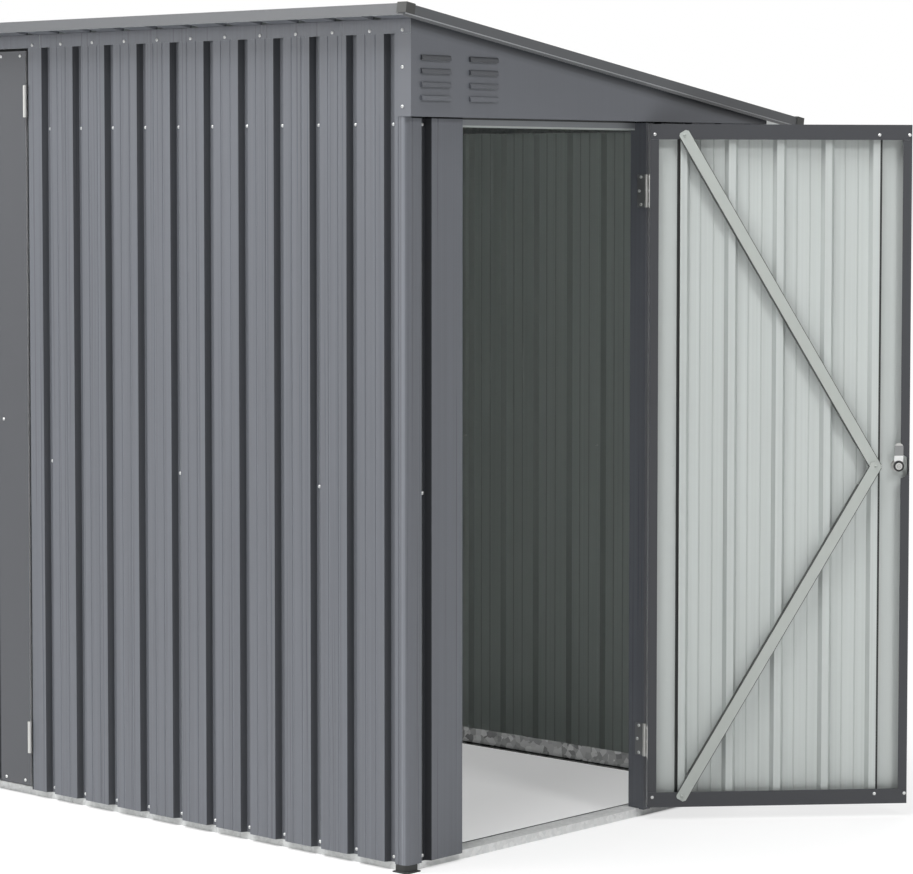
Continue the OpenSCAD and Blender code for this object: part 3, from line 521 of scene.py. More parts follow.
def spangle_group():
    """Crystal facets of hot-dip zinc, as a blend of two greys, roughness and relief."""
    group, given = new_group("zinc_spangle", {
        "Pale": ZINC_PALE, "Deep": ZINC_DEEP, "Crystal Scale": 110.0, "Roughness": 0.38})
    where = coordinates(group)["Object"]
    shift = scaled(group, noise(group, where, *BEND_NOISE)["Color"], CRYSTAL_BEND)
    bent = vector_math(group, "ADD", {0: where, 1: shift})[0]
    crystals = {"Vector": bent, "Scale": given["Crystal Scale"]}
    cells = add_node(group, "ShaderNodeTexVoronoi", crystals).outputs["Color"]
    tone = add_node(group, "ShaderNodeSeparateColor", {0: cells}).outputs[0]
    bloom = noise(group, where, *BLOOM_NOISE)["Fac"]
    share = mix_value(group, BLOOM_SHARE, tone, bloom)
    return end_group(group, {
        "Colour": mix_colour(group, share, given["Deep"], given["Pale"]),
        "Roughness": plus(group, given["Roughness"], times(group, tone, TONE_ROUGHNESS)),
        "Height": tone})


def grain_group():
    """Fine speckle of moulded plastic or plated metal."""
    group, given = new_group("fine_grain", {
        "Colour": WHITE, "Scale": 900.0, "Amount": 0.12, "Roughness": 0.5})
    where = coordinates(group)["Object"]
    fine = noise(group, where, given["Scale"], GRAIN_DETAIL)["Fac"]
    both = plus(group, fine, noise(group, where, *BROAD_NOISE)["Fac"])
    swing = times(group, minus(group, both, 1.0), given["Amount"])
    return end_group(group, {
        "Colour": scaled(group, given["Colour"], plus(group, swing, 1.0)),
        "Roughness": plus(group, given["Roughness"], swing),
        "Height": fine})


ROLLED_COAT = rolled_coat_group()
CORNER_AIM = corner_aim_group()
GROOVES = groove_shade_group()
BAND = band_group()
SPANGLE = spangle_group()
GRAIN = grain_group()


def band_mask(tree, outward, low=-FAR, high=FAR, facing=ANY_FACING):
    """Mask of a band along a direction, on faces that look along it far enough."""
    values = {"Outward": outward, "Low": low, "High": high, "Least Facing": facing}
    return place_group(tree, BAND, values)["Mask"]


def facing_mask(tree, outward):
    """Mask of the side of a sheet that looks outwards."""
    return band_mask(tree, outward, facing=PAINTED_FACING)


# Materials

def new_material(name):
    """A material with an empty Principled shader."""
    material = bpy.data.materials.new(name)
    material.use_nodes = True
    tree = material.node_tree
    return material, tree, tree.nodes["Principled BSDF"]


def dress(node, material):
    """Gives a CAD node its material."""
    slots = frame["nodes"][node].data.materials
    slots.clear()
    slots.append(material)


def new_paint(node):
    """Gives a CAD node a paint of its own, and returns its tree and shader."""
    material, tree, shader = new_material(node + "_paint")
    dress(node, material)
    return tree, shader


def lay_surface(tree, shader, surface, colour, relief):
    """Feeds the shader with a colour, and with the roughness and relief of a shared effect."""
    tree.links.new(colour, shader.inputs["Base Color"])
    tree.links.new(surface["Roughness"], shader.inputs["Roughness"])
    bump = add_node(tree, "ShaderNodeBump", {"Height": surface["Height"], "Distance": relief,
                                             "Strength": RELIEF_STRENGTH})
    tree.links.new(bump.outputs[0], shader.inputs["Normal"])


def lay_coat(tree, shader, colour, roughness, streaks):
    """Ends a painted material with a rolled coat."""
    values = {"Colour": colour, "Roughness": roughness, "Streaks": streaks}
    coat = place_group(tree, ROLLED_COAT, values)
    lay_surface(tree, shader, coat, coat["Colour"], COAT_RELIEF)


def lay_grain(tree, shader, colour, roughness, amount):
    """Ends a material with a fine speckle."""
    values = {"Colour": colour, "Roughness": roughness, "Amount": amount}
    grain = place_group(tree, GRAIN, values)
    lay_surface(tree, shader, grain, grain["Colour"], GRAIN_RELIEF)


def two_coats(tree, shader, side, shade, back, inner):
    """Grey paint where the side mask is 1, else the inner coat, each with its own painted shade.
    The outer coat's painted shade also dims the shine.
    """
    base = mix_colour(tree, side, scaled(tree, inner, back), scaled(tree, GREY_PAINT, shade))
    rough = mix_value(tree, side, *COAT_ROUGHNESS)
    streaks = mix_value(tree, side, *COAT_STREAKS)
    tree.links.new(times(tree, shade, COAT_SHINE), shader.inputs["Specular IOR Level"])
    lay_coat(tree, shader, base, rough, streaks)


def darkened(tree, shade, mask, left):
    """A painted shade that falls to so much of itself where the mask is 1."""
    return times(tree, shade, minus(tree, 1.0, times(tree, mask, 1.0 - left)))


def gable_contact_shadow(tree, shade, high=FAR, arm=1.0):
    """A shade with the painted shadow line close under the gable's seam, on one arm of a corner."""
    line = band_mask(tree, UP, GABLE_SEAM - GABLE_SHADOW_BAND, high)
    return darkened(tree, shade, times(tree, line, arm), PAINTED_SHADOW_SHARE)


def trim_sheet(node, outward):
    """Folded roof trim, painted grey outside."""
    tree, shader = new_paint(node)
    side = facing_mask(tree, outward)
    lay_coat(tree, shader, mix_colour(tree, side, OFF_WHITE, TRIM_PAINT), *TRIM_COAT)


def roof_sheet(node):
    """Roof sheet, painted above and over its front overhang, with the inner coat below. The grey on
    the overhang's underside is painted shade on the inner coat.
    """
    tree, shader = new_paint(node)
    # Painted shade: grey paint also covers the inner coat under the front overhang
    overhang = band_mask(tree, -NORTH, -FRONT - ROOF_OVERHANG)
    painted = larger(tree, facing_mask(tree, UP), overhang)
    lay_coat(tree, shader, mix_colour(tree, painted, OFF_WHITE, GREY_PAINT), *SHEET_COAT)


def flat_sheet(node, outward, plane, inner=OFF_WHITE, shades=GROOVE_PAINTED_SHADE, slants=WALL_SLANT_PAINTED_SHADE,
               lean=Vector((0, 0, 0)), gable_shadowed=False, edge=None):
    """Sheet on one plane, from which its grooves count. Its painted side leans round to the folds.

    Its flag for the gable gives it the painted shadow line under the gable, edge a band of painted
    shadow along a direction, from a place on.
    """
    tree, shader = new_paint(node)
    grooves = place_group(tree, GROOVES, {"Outward": outward, "Plane": plane, "Sides": shades[0],
                                          "Floor": shades[1], "Slants": slants})
    shade = grooves["Shade"]
    # Painted shadow under the gable's seam, and along an edge
    if gable_shadowed:
        shade = gable_contact_shadow(tree, shade)
    if edge:
        shade = darkened(tree, shade, band_mask(tree, *edge), PAINTED_SHADOW_SHARE)
    two_coats(tree, shader, facing_mask(tree, outward + lean), shade, grooves["Back"], inner)


def roof_plane():
    """Direction square to the roof, and how far along it the roof's underside lies."""
    fall = math.atan2(EAVES[0] - EAVES[1], REAR - FRONT)
    square = Vector((0, math.sin(fall), math.cos(fall)))
    return square, square.dot(Vector((0, FRONT, EAVES[0])))


def gable_sheet(node, outward):
    """Gable with painted shadow under the verge. Its louvres' hoods get painted shade, darker the
    higher they stand.
    """
    tree, shader = new_paint(node)
    # Painted shade on the louvres' hoods, darker the higher they stand
    hood = band_mask(tree, outward, RIGHT + GABLE_OUT + HOOD_START)
    where = coordinates(tree)["Object"]
    left = ramp(tree, parts_of(tree, where)["Z"], LOUVRE_ROWS, LOUVRE_PAINTED_SHADES)
    lost = times(tree, hood, minus(tree, 1.0, left))
    square, under = roof_plane()
    # Painted shadow in a band under the verge
    fade = [under - distance for distance in VERGE_SHADOW_FADE]
    verge = ramp(tree, dot_node(tree, where, square), fade, (1.0, VERGE_PAINTED_SHADOW))
    paint = scaled(tree, GREY_PAINT, times(tree, minus(tree, 1.0, lost), verge))
    side = facing_mask(tree, outward + GABLE_LEAN)
    lay_coat(tree, shader, mix_colour(tree, side, OFF_WHITE, paint), *SHEET_COAT)


def corner_sheet(node, outward, corner, side_shades=GROOVE_PAINTED_SHADE, gable_shadowed=False):
    """Sheet folded round a corner. The groove on its side arm has painted shades of its own."""
    tree, shader = new_paint(node)
    aim = place_group(tree, CORNER_AIM, {"Corner": corner, "Outward": outward})
    arm = aim["Side Arm"]
    sides, floor = [mix_value(tree, arm, *pair) for pair in zip(GROOVE_PAINTED_SHADE, side_shades)]
    grooves = place_group(tree, GROOVES, {"Outward": aim["Outward"], "Plane": aim["Plane"],
                                          "Sides": sides, "Floor": floor})
    shade = grooves["Shade"]
    if gable_shadowed:
        shade = gable_contact_shadow(tree, shade, GABLE_SEAM, arm)
    two_coats(tree, shader, facing_mask(tree, aim["Outward"]), shade, grooves["Back"], WALL_BACK)


def leaf_frame(leaf):
    """Dark door frame, with a painted highlight on its hinge edge. The backs of its outer flats
    keep the inner coat, with painted shadow beside the sheet.
    """
    tree, shader = new_paint(leaf.node + "_frame")
    middle = leaf.face - DOOR_DEPTH / 2
    start = leaf.start.dot(leaf.along)
    near = start + leaf.sheet_edge()
    far = start + leaf.width - leaf.sheet_edge()
    shade = 1.0
    # Painted shadow on the stiles' backs beside the sheet's end ribs
    for seam, (low, high) in zip((near, far), STILE_SHADOW_BANDS):
        line = band_mask(tree, leaf.along, seam + low, seam + high)
        shade = darkened(tree, shade, line, STILE_PAINTED_SHADOW)
    # Painted highlight on the frame's hinge edge
    edge = band_mask(tree, -leaf.along, -start - LEAF_EDGE, facing=FLAT_FACING)
    face = band_mask(tree, leaf.outward, middle, facing=FLAT_FACING)
    paint = mix_colour(tree, face, mix_colour(tree, edge, DARK_PAINT, EDGE_HIGHLIGHT), FRAME_FACE)
    back = band_mask(tree, -leaf.outward, high=-middle, facing=PAINTED_FACING)
    colour = mix_colour(tree, back, paint, scaled(tree, OFF_WHITE, shade))
    lay_coat(tree, shader, colour, *FRAME_COAT)


def verge_paint(node, outward):
    """Verge trim: grey face, and a lip of a paler grey as painted light from below, with a painted
    highlight along its bend.
    """
    tree, shader = new_paint(node)
    lip = band_mask(tree, (outward - UP).normalized(), facing=LIP_FACING)
    square, under = roof_plane()
    # Painted highlight along the lip's bend
    bend = band_mask(tree, square, *[under + height for height in VERGE_BEND_HIGHLIGHT])
    hem = mix_colour(tree, bend, HEM_GREY_LIGHTENED, HEM_HIGHLIGHT)
    lay_coat(tree, shader, mix_colour(tree, lip, TRIM_PAINT, hem), *HEM_COAT)


def lintel_paint(node):
    """Lintel in a grey made paler as painted light, with a pale folded hem at its lower edge and
    the painted shadow line under the gable's seam.
    """
    tree, shader = new_paint(node)
    hem = band_mask(tree, -UP, -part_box(node)[0].z - LINTEL_HEM)
    colour = mix_colour(tree, hem, LINTEL_PAINT_LIGHTENED, OFF_WHITE)
    lay_coat(tree, shader, scaled(tree, colour, gable_contact_shadow(tree, 1.0)), *HEM_COAT)


def bar_paint(leaf):
    """Brace bars, with painted shadow on their folded edges and along the borders of their faces.
    The lower one counts as a mirror of the upper.
    """
    tree, shader = new_paint(leaf.node + "_brace")
    face = band_mask(tree, -leaf.outward, facing=BAR_FACING)
    rib = leaf.first_rib()
    run = leaf.width - 2 * rib
    rise = (leaf.high - leaf.low) / 2 - BAR_END
    length = math.hypot(run, rise)
    crossing = leaf.place(leaf.width - rib, 0, leaf.middle)
    offset = offset_from(tree, coordinates(tree)["Object"], crossing)
    height = math_node(tree, "ABSOLUTE", parts_of(tree, offset)["Z"])
    across = plus(tree, times(tree, dot_node(tree, offset, leaf.along), rise / length),
                  times(tree, height, run / length))
    # Painted shadow along the borders of the bars' faces
    for low, high in BAR_EDGE_SHADOW_BANDS:
        face = times(tree, face, minus(tree, 1.0, between(tree, across, low, high)))
    edge = [share * BAR_EDGE_PAINTED_SHADOW for share in BRACE_PAINT[:3]] + [1.0]
    lay_coat(tree, shader, mix_colour(tree, face, edge, BRACE_PAINT), *BRACE_COAT)


def plain_paint(name, colour, coat):
    """Paint that is the same on both sides of a piece."""
    material, tree, shader = new_material(name)
    lay_coat(tree, shader, colour, *coat)
    return material


def galvanised(name, crystals, metallic, line=None):
    """Hot-dip zinc with its own crystals and shine, and a painted shadow line in a band if one is
    given.
    """
    material, tree, shader = new_material(name)
    zinc = place_group(tree, SPANGLE, crystals)
    colour = zinc["Colour"]
    if line:
        colour = mix_colour(tree, band_mask(tree, **line), colour, SHADOW_LINE_DARK)
    lay_surface(tree, shader, zinc, colour, ZINC_RELIEF)
    shader.inputs["Metallic"].default_value = metallic
    return material


def grained(name, colour, grain, metallic=0.0):
    """Moulded plastic or plated metal with a fine speckle."""
    material, tree, shader = new_material(name)
    lay_grain(tree, shader, colour, *grain)
    shader.inputs["Metallic"].default_value = metallic
    return material


def hinge_metal():
    """Plated hinges. The plates in the side doorway are duller than the barrels."""
    material, tree, shader = new_material("plated_hinge")
    plate = band_mask(tree, EAST, *[RIGHT - inset for inset in HINGE_PLATE])
    lay_grain(tree, shader, mix_colour(tree, plate, HINGE_ZINC, PLATE_ZINC), *HINGE_GRAIN)
    shader.inputs["Metallic"].default_value = HINGE_METAL
    return material


def lock_metal(leaf):
    """Plated lock: black nut round a turned screw, and a cam with a dull tab over a bend with a
    painted highlight.
    """
    material, tree, shader = new_material(leaf.node + "_lock_metal")
    axis = leaf.place(leaf.width - LOCK_INSET, 0, leaf.middle)
    offset = offset_from(tree, coordinates(tree)["Object"], axis)
    across = vector_math(tree, "CROSS_PRODUCT", {0: offset, 1: leaf.outward})[0]
    reach = vector_math(tree, "LENGTH", {0: across})["Value"]
    inner = band_mask(tree, -leaf.outward, DOOR_DEPTH - leaf.face)
    nut = times(tree, between(tree, reach, *LOCK_NUT), inner)
    colour = HINGE_ZINC
    # The tab's dull zinc, and the bend's bright zinc as a painted highlight
    for heights, finish in ((LOCK_TAB, CAM_DULL), (LOCK_BEND_HIGHLIGHT, SCREW_ZINC)):
        part = band_mask(tree, UP, *[leaf.middle + height for height in heights])
        colour = mix_colour(tree, part, colour, finish)
    for radii in LOCK_RINGS:
        colour = mix_colour(tree, between(tree, reach, *radii), colour, CAM_DULL)
    lay_grain(tree, shader, mix_colour(tree, nut, colour, NUT_BLACK), *LOCK_GRAIN)
    tree.links.new(mix_value(tree, nut, LOCK_METAL, 0.0), shader.inputs["Metallic"])
    return material


# Frames of the doors at rest

def side_door_outward():
    """Outer direction of the side door at rest, which its joint's lower limit would close."""
    opened = math.radians(-joints["side_door_hinge"]["range_deg"][0])
    return Vector((math.cos(opened), math.sin(opened), 0))


class Leaf:
    """Door leaf at rest, with places u from the hinge edge, d in from the outer face and z up."""

    def __init__(self, node, outward, turn):
        self.node = node
        self.body = node if node == "side_door" else node + "_door"
        self.outward = outward
        self.along = Vector((-outward.y, outward.x, 0)) * turn
        self.start = Vector(joints[self.body + "_hinge"]["pos_m"])
        self.start += self.along * (DOOR_CLEARANCE / 2) - outward * AXIS_OUT
        self.start.z = 0
        self.face = self.start.dot(outward)
        points = [vertex.co for vertex in frame["nodes"][node + "_frame"].data.vertices]
        reach = [self.along.dot(point) for point in points]
        self.width = max(reach) - min(reach)
        self.low, self.high = min(point.z for point in points), max(point.z for point in points)
        self.middle = (self.low + self.high) / 2

    def place(self, u, d, z):
        """Point at u, d and z."""
        return self.start + self.along * u - self.outward * d + UP * z

    def first_rib(self):
        """Distance from the hinge edge to the middle of the sheet's first rib."""
        bays = math.floor((self.width - 2 * STILE_MIN - GROOVE_TOP) / SHEET_PITCH)
        return (self.width - bays * SHEET_PITCH) / 2

    def sheet_edge(self):
        """Distance from the hinge edge to the free edge of the sheet."""
        return self.first_rib() - GROOVE_FLOOR / 2


AXIS_OUT = joints["side_door_hinge"]["pos_m"][0] - RIGHT
SIDE_LEAF = Leaf("side_door", side_door_outward(), -1)
SIDE_FRAME = Leaf("side_door", EAST, -1)
RIGHT_LEAF = Leaf("front_right", -NORTH, -1)
LEFT_LEAF = Leaf("front_left", -NORTH, 1)
LEAVES = (SIDE_LEAF, RIGHT_LEAF, LEFT_LEAF)


def dress_sheets():
    """Two-sided paint on every wall, gable, roof and trim sheet."""
    walls = {
        "front_wall_panels": (-NORTH, -FRONT), "rear_wall_panels": (NORTH, REAR),
        "left_wall_panels": (-EAST, -LEFT), "front_fascia": (-NORTH, -FRONT),
        "rear_fascia": (NORTH, REAR),
    }
    for node, (outward, plane) in walls.items():
        flat_sheet(node, outward, plane, WALL_BACK)
    # Bands of painted shadow on the front jambs along the doorway's edges
    right_doorway_shadow = (-EAST, -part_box("front_jamb_right")[0].x - DOORWAY_SHADOW_BAND)
    left_doorway_shadow = (EAST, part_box("front_jamb_left")[1].x - DOORWAY_SHADOW_BAND)
    jambs = {
        "front_jamb_right": (-NORTH, -FRONT, GROOVE_PAINTED_SHADE, -EAST, False, right_doorway_shadow),
        "front_jamb_left": (-NORTH, -FRONT, GROOVE_PAINTED_SHADE, EAST, False, left_doorway_shadow),
        "side_jamb": (EAST, RIGHT, SEAM_GROOVE_PAINTED_SHADE, NORTH, True, None),
        "side_hinge_post": (EAST, RIGHT, GROOVE_PAINTED_SHADE, -NORTH, True, None),
    }
    for node, (outward, plane, shades, inwards, gable_shadowed, edge) in jambs.items():
        flat_sheet(node, outward, plane, WALL_BACK, shades, lean=inwards * JAMB_LEAN, gable_shadowed=gable_shadowed,
                   edge=edge)
    for side, outward, x, shades in (("right", EAST, RIGHT, SEAM_GROOVE_PAINTED_SHADE),
                                     ("left", -EAST, LEFT, GROOVE_PAINTED_SHADE)):
        gable_sheet("gable_" + side, outward)
        verge_paint("verge_trim_" + side, outward)
        corner_sheet("corner_panel_front_" + side, outward - NORTH, (x, FRONT, 0), shades, True)
        corner_sheet("corner_panel_rear_" + side, outward + NORTH, (x, REAR, 0))
    roof_sheet("roof_panels")
    for node, outward in (("roof_trim_front", -NORTH), ("roof_trim_rear", NORTH)):
        trim_sheet(node, outward + TRIM_LEAN)
    for leaf in LEAVES:
        flat_sheet(leaf.node + "_sheet", leaf.outward, leaf.face, slants=DOOR_SLANT_PAINTED_SHADE)


def dress_hardware():
    """Door frames, rails, hinges, locks, bars, feet and caps."""
    for leaf in LEAVES:
        leaf_frame(leaf)
        bar_paint(leaf)
    for leaf in (SIDE_LEAF, RIGHT_LEAF):
        dress(leaf.node + "_lock", lock_metal(leaf))
    lintel_paint("side_lintel")
    dress("front_header", plain_paint("header_paint", DARK_PAINT, HEADER_COAT))
    # Painted shadow line along the sill's inner edge
    low, high = (RIGHT - SILL_BACK + reach for reach in SILL_SHADOW_LINE)
    # The sill's paler zinc is painted light
    sill = galvanised("galvanised_sill", {"Pale": ZINC_PALE_LIGHTENED, "Deep": SILL_DEEP_LIGHTENED}, SILL_METAL,
                      {"outward": EAST, "low": low, "high": high})
    dress("base_rail_right", sill)
    zinc = galvanised("galvanised_rail", {}, RAIL_METAL)
    for node in ("base_rail_front", "front_inner_rail", "front_top_rail", "left_top_rail",
                 "rear_top_rail", "roof_purlin"):
        dress(node, zinc)
    # The blotched rails' paler crystals are painted light for the dim inside
    blotches = {"Crystal Scale": BLOTCH_SCALE, "Pale": ZINC_PALE_LIGHTENED, "Deep": ZINC_DULL}
    # Painted shadow line at the foot of the blotched rails
    blotched = galvanised("galvanised_blotched", blotches, BLOTCHED_METAL,
                          {"outward": -UP, "low": -FOOT_SHADOW_LINE, "facing": FOOT_FACING})
    for node in ("base_rail_rear", "base_rail_left"):
        dress(node, blotched)
    plated = hinge_metal()
    for node in ("fixed_hinges", "side_door_hinges", "front_right_hinges", "front_left_hinges"):
        dress(node, plated)
    dress("roof_corner_caps", grained("cap_plastic", CAP_PLASTIC, CAP_GRAIN))
    dress("corner_feet", grained("foot_plastic", FOOT_PLASTIC, FOOT_GRAIN))


dress_sheets()
dress_hardware()


# Screws

def screw_tree():
    """Geometry tree that sets a cross-slot screw on every point, along the point's facing."""
    tree = bpy.data.node_groups.new("screw_heads", "GeometryNodeTree")
    tree.interface.new_socket("Geometry", in_out="INPUT", socket_type="NodeSocketGeometry")
    for label, size in SCREW_SIZES:
        tree.interface.new_socket(label, in_out="INPUT", socket_type=VALUE).default_value = size
    tree.interface.new_socket("Seed", in_out="INPUT", socket_type="NodeSocketInt")
    tree.interface.new_socket("Finish", in_out="INPUT", socket_type="NodeSocketMaterial")
    tree.interface.new_socket("Geometry", in_out="OUTPUT", socket_type="NodeSocketGeometry")
    given = tree.nodes.new("NodeGroupInput").outputs
    shapes = {0: domed_head(tree, given), 1: crossed_slot(tree, given)}
    cut = add_node(tree, "GeometryNodeMeshBoolean", shapes, operation="DIFFERENCE")
    shank = add_node(tree, "GeometryNodeMeshCone",
                     {"Vertices": SHANK_FACETS, "Radius Top": given["Shank Radius"],
                      "Radius Bottom": SCREW_TIP, "Depth": given["Shank Length"]})
    sunk = vector_of(tree, {2: times(tree, given["Shank Length"], -1.0)})
    lowered = add_node(tree, "GeometryNodeTransform", {0: shank.outputs[0], "Translation": sunk})
    whole = add_node(tree, "GeometryNodeJoinGeometry")
    for part in (cut, lowered):
        tree.links.new(part.outputs[0], whole.inputs[0])
    facing, size = (add_node(tree, "GeometryNodeInputNamedAttribute", {"Name": name},
                             data_type="FLOAT_VECTOR").outputs[0] for name in ("facing", "size"))
    aligned = add_node(tree, "FunctionNodeAlignRotationToVector", {"Vector": facing}, axis="Z")
    turn = add_node(tree, "FunctionNodeRandomValue", {"Seed": given["Seed"], 3: math.tau},
                    data_type="FLOAT")
    spin = vector_of(tree, {2: turn.outputs[1]})
    turned = add_node(tree, "FunctionNodeRotateRotation", {0: aligned.outputs[0], 1: spin},
                      rotation_space="LOCAL")
    placed = add_node(tree, "GeometryNodeInstanceOnPoints",
                      {"Points": given["Geometry"], "Instance": whole.outputs[0],
                       "Rotation": turned.outputs[0], "Scale": size})
    realized = add_node(tree, "GeometryNodeRealizeInstances", {0: placed.outputs[0]})
    finished = add_node(tree, "GeometryNodeSetMaterial",
                        {0: realized.outputs[0], "Material": given["Finish"]})
    result = tree.nodes.new("NodeGroupOutput")
    tree.links.new(finished.outputs[0], result.inputs[0])
    return tree


def domed_head(tree, given):
    """Screw head turned from a cylinder: a flat rim that rises into a dome."""
    disc = add_node(tree, "GeometryNodeMeshCylinder",
                    {"Vertices": SCREW_FACETS, "Side Segments": DOME_RINGS,
                     "Radius": given["Head Radius"], "Depth": given["Head Height"]})
    place = add_node(tree, "GeometryNodeInputPosition").outputs[0]
    risen = math_node(tree, "DIVIDE", parts_of(tree, place)["Z"], given["Head Height"])
    bulge = math_node(tree, "POWER", plus(tree, risen, 0.5), DOME_POWER)
    narrowed = minus(tree, 1.0, times(tree, bulge, DOME_TAPER))
    spread = vector_of(tree, {0: narrowed, 1: narrowed, 2: 1.0})
    shaped = vector_math(tree, "MULTIPLY", {0: place, 1: spread})[0]
    values = {0: disc.outputs[0], "Position": shaped}
    return add_node(tree, "GeometryNodeSetPosition", values).outputs[0]


def crossed_slot(tree, given):
    """Two crossed bars that cut the slot into the head's top."""
    bars = add_node(tree, "GeometryNodeJoinGeometry")
    lift = vector_of(tree, {2: times(tree, given["Head Height"], 0.5)})
    deep = times(tree, given["Slot Depth"], 2.0)
    long, wide = given["Slot Length"], given["Slot Width"]
    for sides in ((long, wide), (wide, long)):
        size = vector_of(tree, {0: sides[0], 1: sides[1], 2: deep})
        bar = add_node(tree, "GeometryNodeMeshCube", {"Size": size})
        raised = add_node(tree, "GeometryNodeTransform", {0: bar.outputs[0], "Translation": lift})
        tree.links.new(raised.outputs[0], bars.inputs[0])
    return bars.outputs[0]


SCREW_TREE = screw_tree()


def add_piece(name, mesh):
    """A new object at the origin with a mesh."""
    piece = bpy.data.objects.new(name, mesh)
    bpy.context.scene.collection.objects.link(piece)
    return piece


def set_screws(name, body, places, finish, seed):
    """One mesh of screws for a body, each a point, a facing and a share of the head's height."""
    mesh = bpy.data.meshes.new(name)
    points = [place + facing * SCREW_HEAD_HALF * height for place, facing, height in places]
    mesh.from_pydata(points, [], [])
    facing_data = mesh.attributes.new("facing", "FLOAT_VECTOR", "POINT")
    size_data = mesh.attributes.new("size", "FLOAT_VECTOR", "POINT")
    for i, (_, facing, height) in enumerate(places):
        facing_data.data[i].vector = facing
        size_data.data[i].vector = (1.0, 1.0, height)
    piece = add_piece(name, mesh)
    modifier = piece.modifiers.new("screws", "NODES")
    modifier.node_group = SCREW_TREE
    sockets = {item.name: item.identifier for item in SCREW_TREE.interface.items_tree
               if item.in_out == "INPUT"}
    modifier[sockets["Seed"]] = seed
    modifier[sockets["Finish"]] = finish
    graph = bpy.context.evaluated_depsgraph_get()
    plain = bpy.data.meshes.new_from_object(piece.evaluated_get(graph))
    piece.modifiers.remove(modifier)
    piece.data = plain
    piece.data.name = name
    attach(piece, body)


def wall_row(first, last, pitch):
    """Places of the grooves along a wall from the first to the last."""
    count = round((last - first) / pitch)
    return [first + i * (last - first) / count for i in range(count + 1)]


def groove_screws(grooves, along, facing, plane, seams):
    """Screws in a wall's groove floors: at the foot and top of each, and halfway up each seam."""
    floor = facing * (plane - GROOVE_DEPTH)
    places = []
    for i, s in enumerate(grooves):
        rows = (FOOT_ROW, SEAM_ROW, UPPER_ROW) if i in seams else (FOOT_ROW, UPPER_ROW)
        places += [(floor + along * s + UP * z, facing, FULL_HEAD) for z in rows]
    return places


def wall_screws():
    """Screws of the four walls, and where the front wall's grooves are."""
    low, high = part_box("front_wall_panels")
    bays = round((high.x - low.x) / SHEET_PITCH) + CORNER_BAYS
    last_groove = REAR - SHEET_PITCH + CORNER_FIRST
    front = [RIGHT - CORNER_FIRST - i * SHEET_PITCH for i in range(bays + 1)]
    rear = wall_row(LEFT + CORNER_FIRST, RIGHT - CORNER_FIRST, SHEET_PITCH)
    left = wall_row(FRONT + CORNER_FIRST, last_groove, SHEET_PITCH)
    right = (FRONT + SHEET_PITCH - CORNER_FIRST, last_groove - CORNER_BAYS * SHEET_PITCH)
    front_seams = range(CORNER_BAYS, bays + 1, PANEL_BAYS)
    rear_seams = range(0, len(rear), PANEL_BAYS)
    places = groove_screws(front, EAST, -NORTH, -FRONT, front_seams)
    places += groove_screws(rear, EAST, NORTH, REAR, rear_seams)
    places += groove_screws(left, NORTH, -EAST, -LEFT, LEFT_SEAMS)
    places += groove_screws(right, NORTH, EAST, RIGHT, (0, 1))
    return places, front


def strip_screws(grooves):
    """Screws of the strip over the front wall and of the gables' front flanges."""
    fascia_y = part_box("front_fascia")[0].y
    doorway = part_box("front_jamb_right")[0].x
    flange_x = RIGHT - FLANGE_INSET
    along = [x - SHEET_PITCH / 2 for x in grooves[:-1]]
    along += [doorway + JAMB_INSET, flange_x, -flange_x]
    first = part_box("front_jamb_left")[1].x + DOORWAY_INSETS[0]
    along += wall_row(first, doorway - DOORWAY_INSETS[1], DOORWAY_PITCH)
    places = [(Vector((x, fascia_y, STRIP_ROW)), -NORTH, FULL_HEAD) for x in along]
    for x in (flange_x, -flange_x):
        places += [(Vector((x, fascia_y, z)), -NORTH, FULL_HEAD) for z in FLANGE_ROWS]
    return places


def roof_screws():
    """Screws on the roof's rib crests over the front wall, the purlin and the rear wall."""
    points = [vertex.co for vertex in frame["nodes"]["roof_panels"].data.vertices]
    front = max(points, key=lambda point: point.z)
    rear_y = max(point.y for point in points) - ROOF_END
    rear = max((point for point in points if point.y > rear_y), key=lambda point: point.z)
    fall = rear - front
    facing = Vector((0, -fall.z, fall.y)).normalized()
    sides = [point.x for point in points]
    ribs = wall_row(min(sides), max(sides), SHEET_PITCH)[1:-1]
    places = []
    for share in ROOF_ROWS:
        crest = front + fall * share
        places += [(Vector((x, crest.y, crest.z)), facing, FULL_HEAD) for x in ribs]
    return places


def hinge_screws(leaf, fixed):
    """Screws of a leaf's two hinges, on the half that stays or on the half that moves."""
    facing = leaf.along if fixed else -leaf.along
    u = HINGE_LEAF - DOOR_CLEARANCE if fixed else -HINGE_LEAF
    low, high = (corner.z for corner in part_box(leaf.node + "_hinges"))
    places = []
    for middle in (low + HINGE_HALF, high - HINGE_HALF):
        places += [(leaf.place(u, d, middle + rise), facing, HINGE_HEAD)
                   for rise, d in HINGE_SCREWS]
    return places


def leaf_screws(leaf, second):
    """Screws of a door: moving hinge halves, outer corners and stiles, inner corners."""
    places = hinge_screws(leaf, False)
    stiles = (second, leaf.width - second)
    for z in (leaf.low + OUTER_RISE, leaf.high - OUTER_RISE):
        places += [(leaf.place(u, 0, z), leaf.outward, FULL_HEAD)
                   for u in (OUTER_INSET, *stiles, leaf.width - OUTER_INSET)]
    places += [(leaf.place(u, 0, leaf.middle), leaf.outward, FULL_HEAD) for u in stiles]
    inner = (INNER_HINGE_INSET, *(leaf.width - inset for inset in INNER_LOCK_INSETS))
    for z in (leaf.low + INNER_RISE, leaf.high - INNER_RISE):
        places += [(leaf.place(u, DOOR_DEPTH, z), -leaf.outward, FULL_HEAD) for u in inner]
    return places


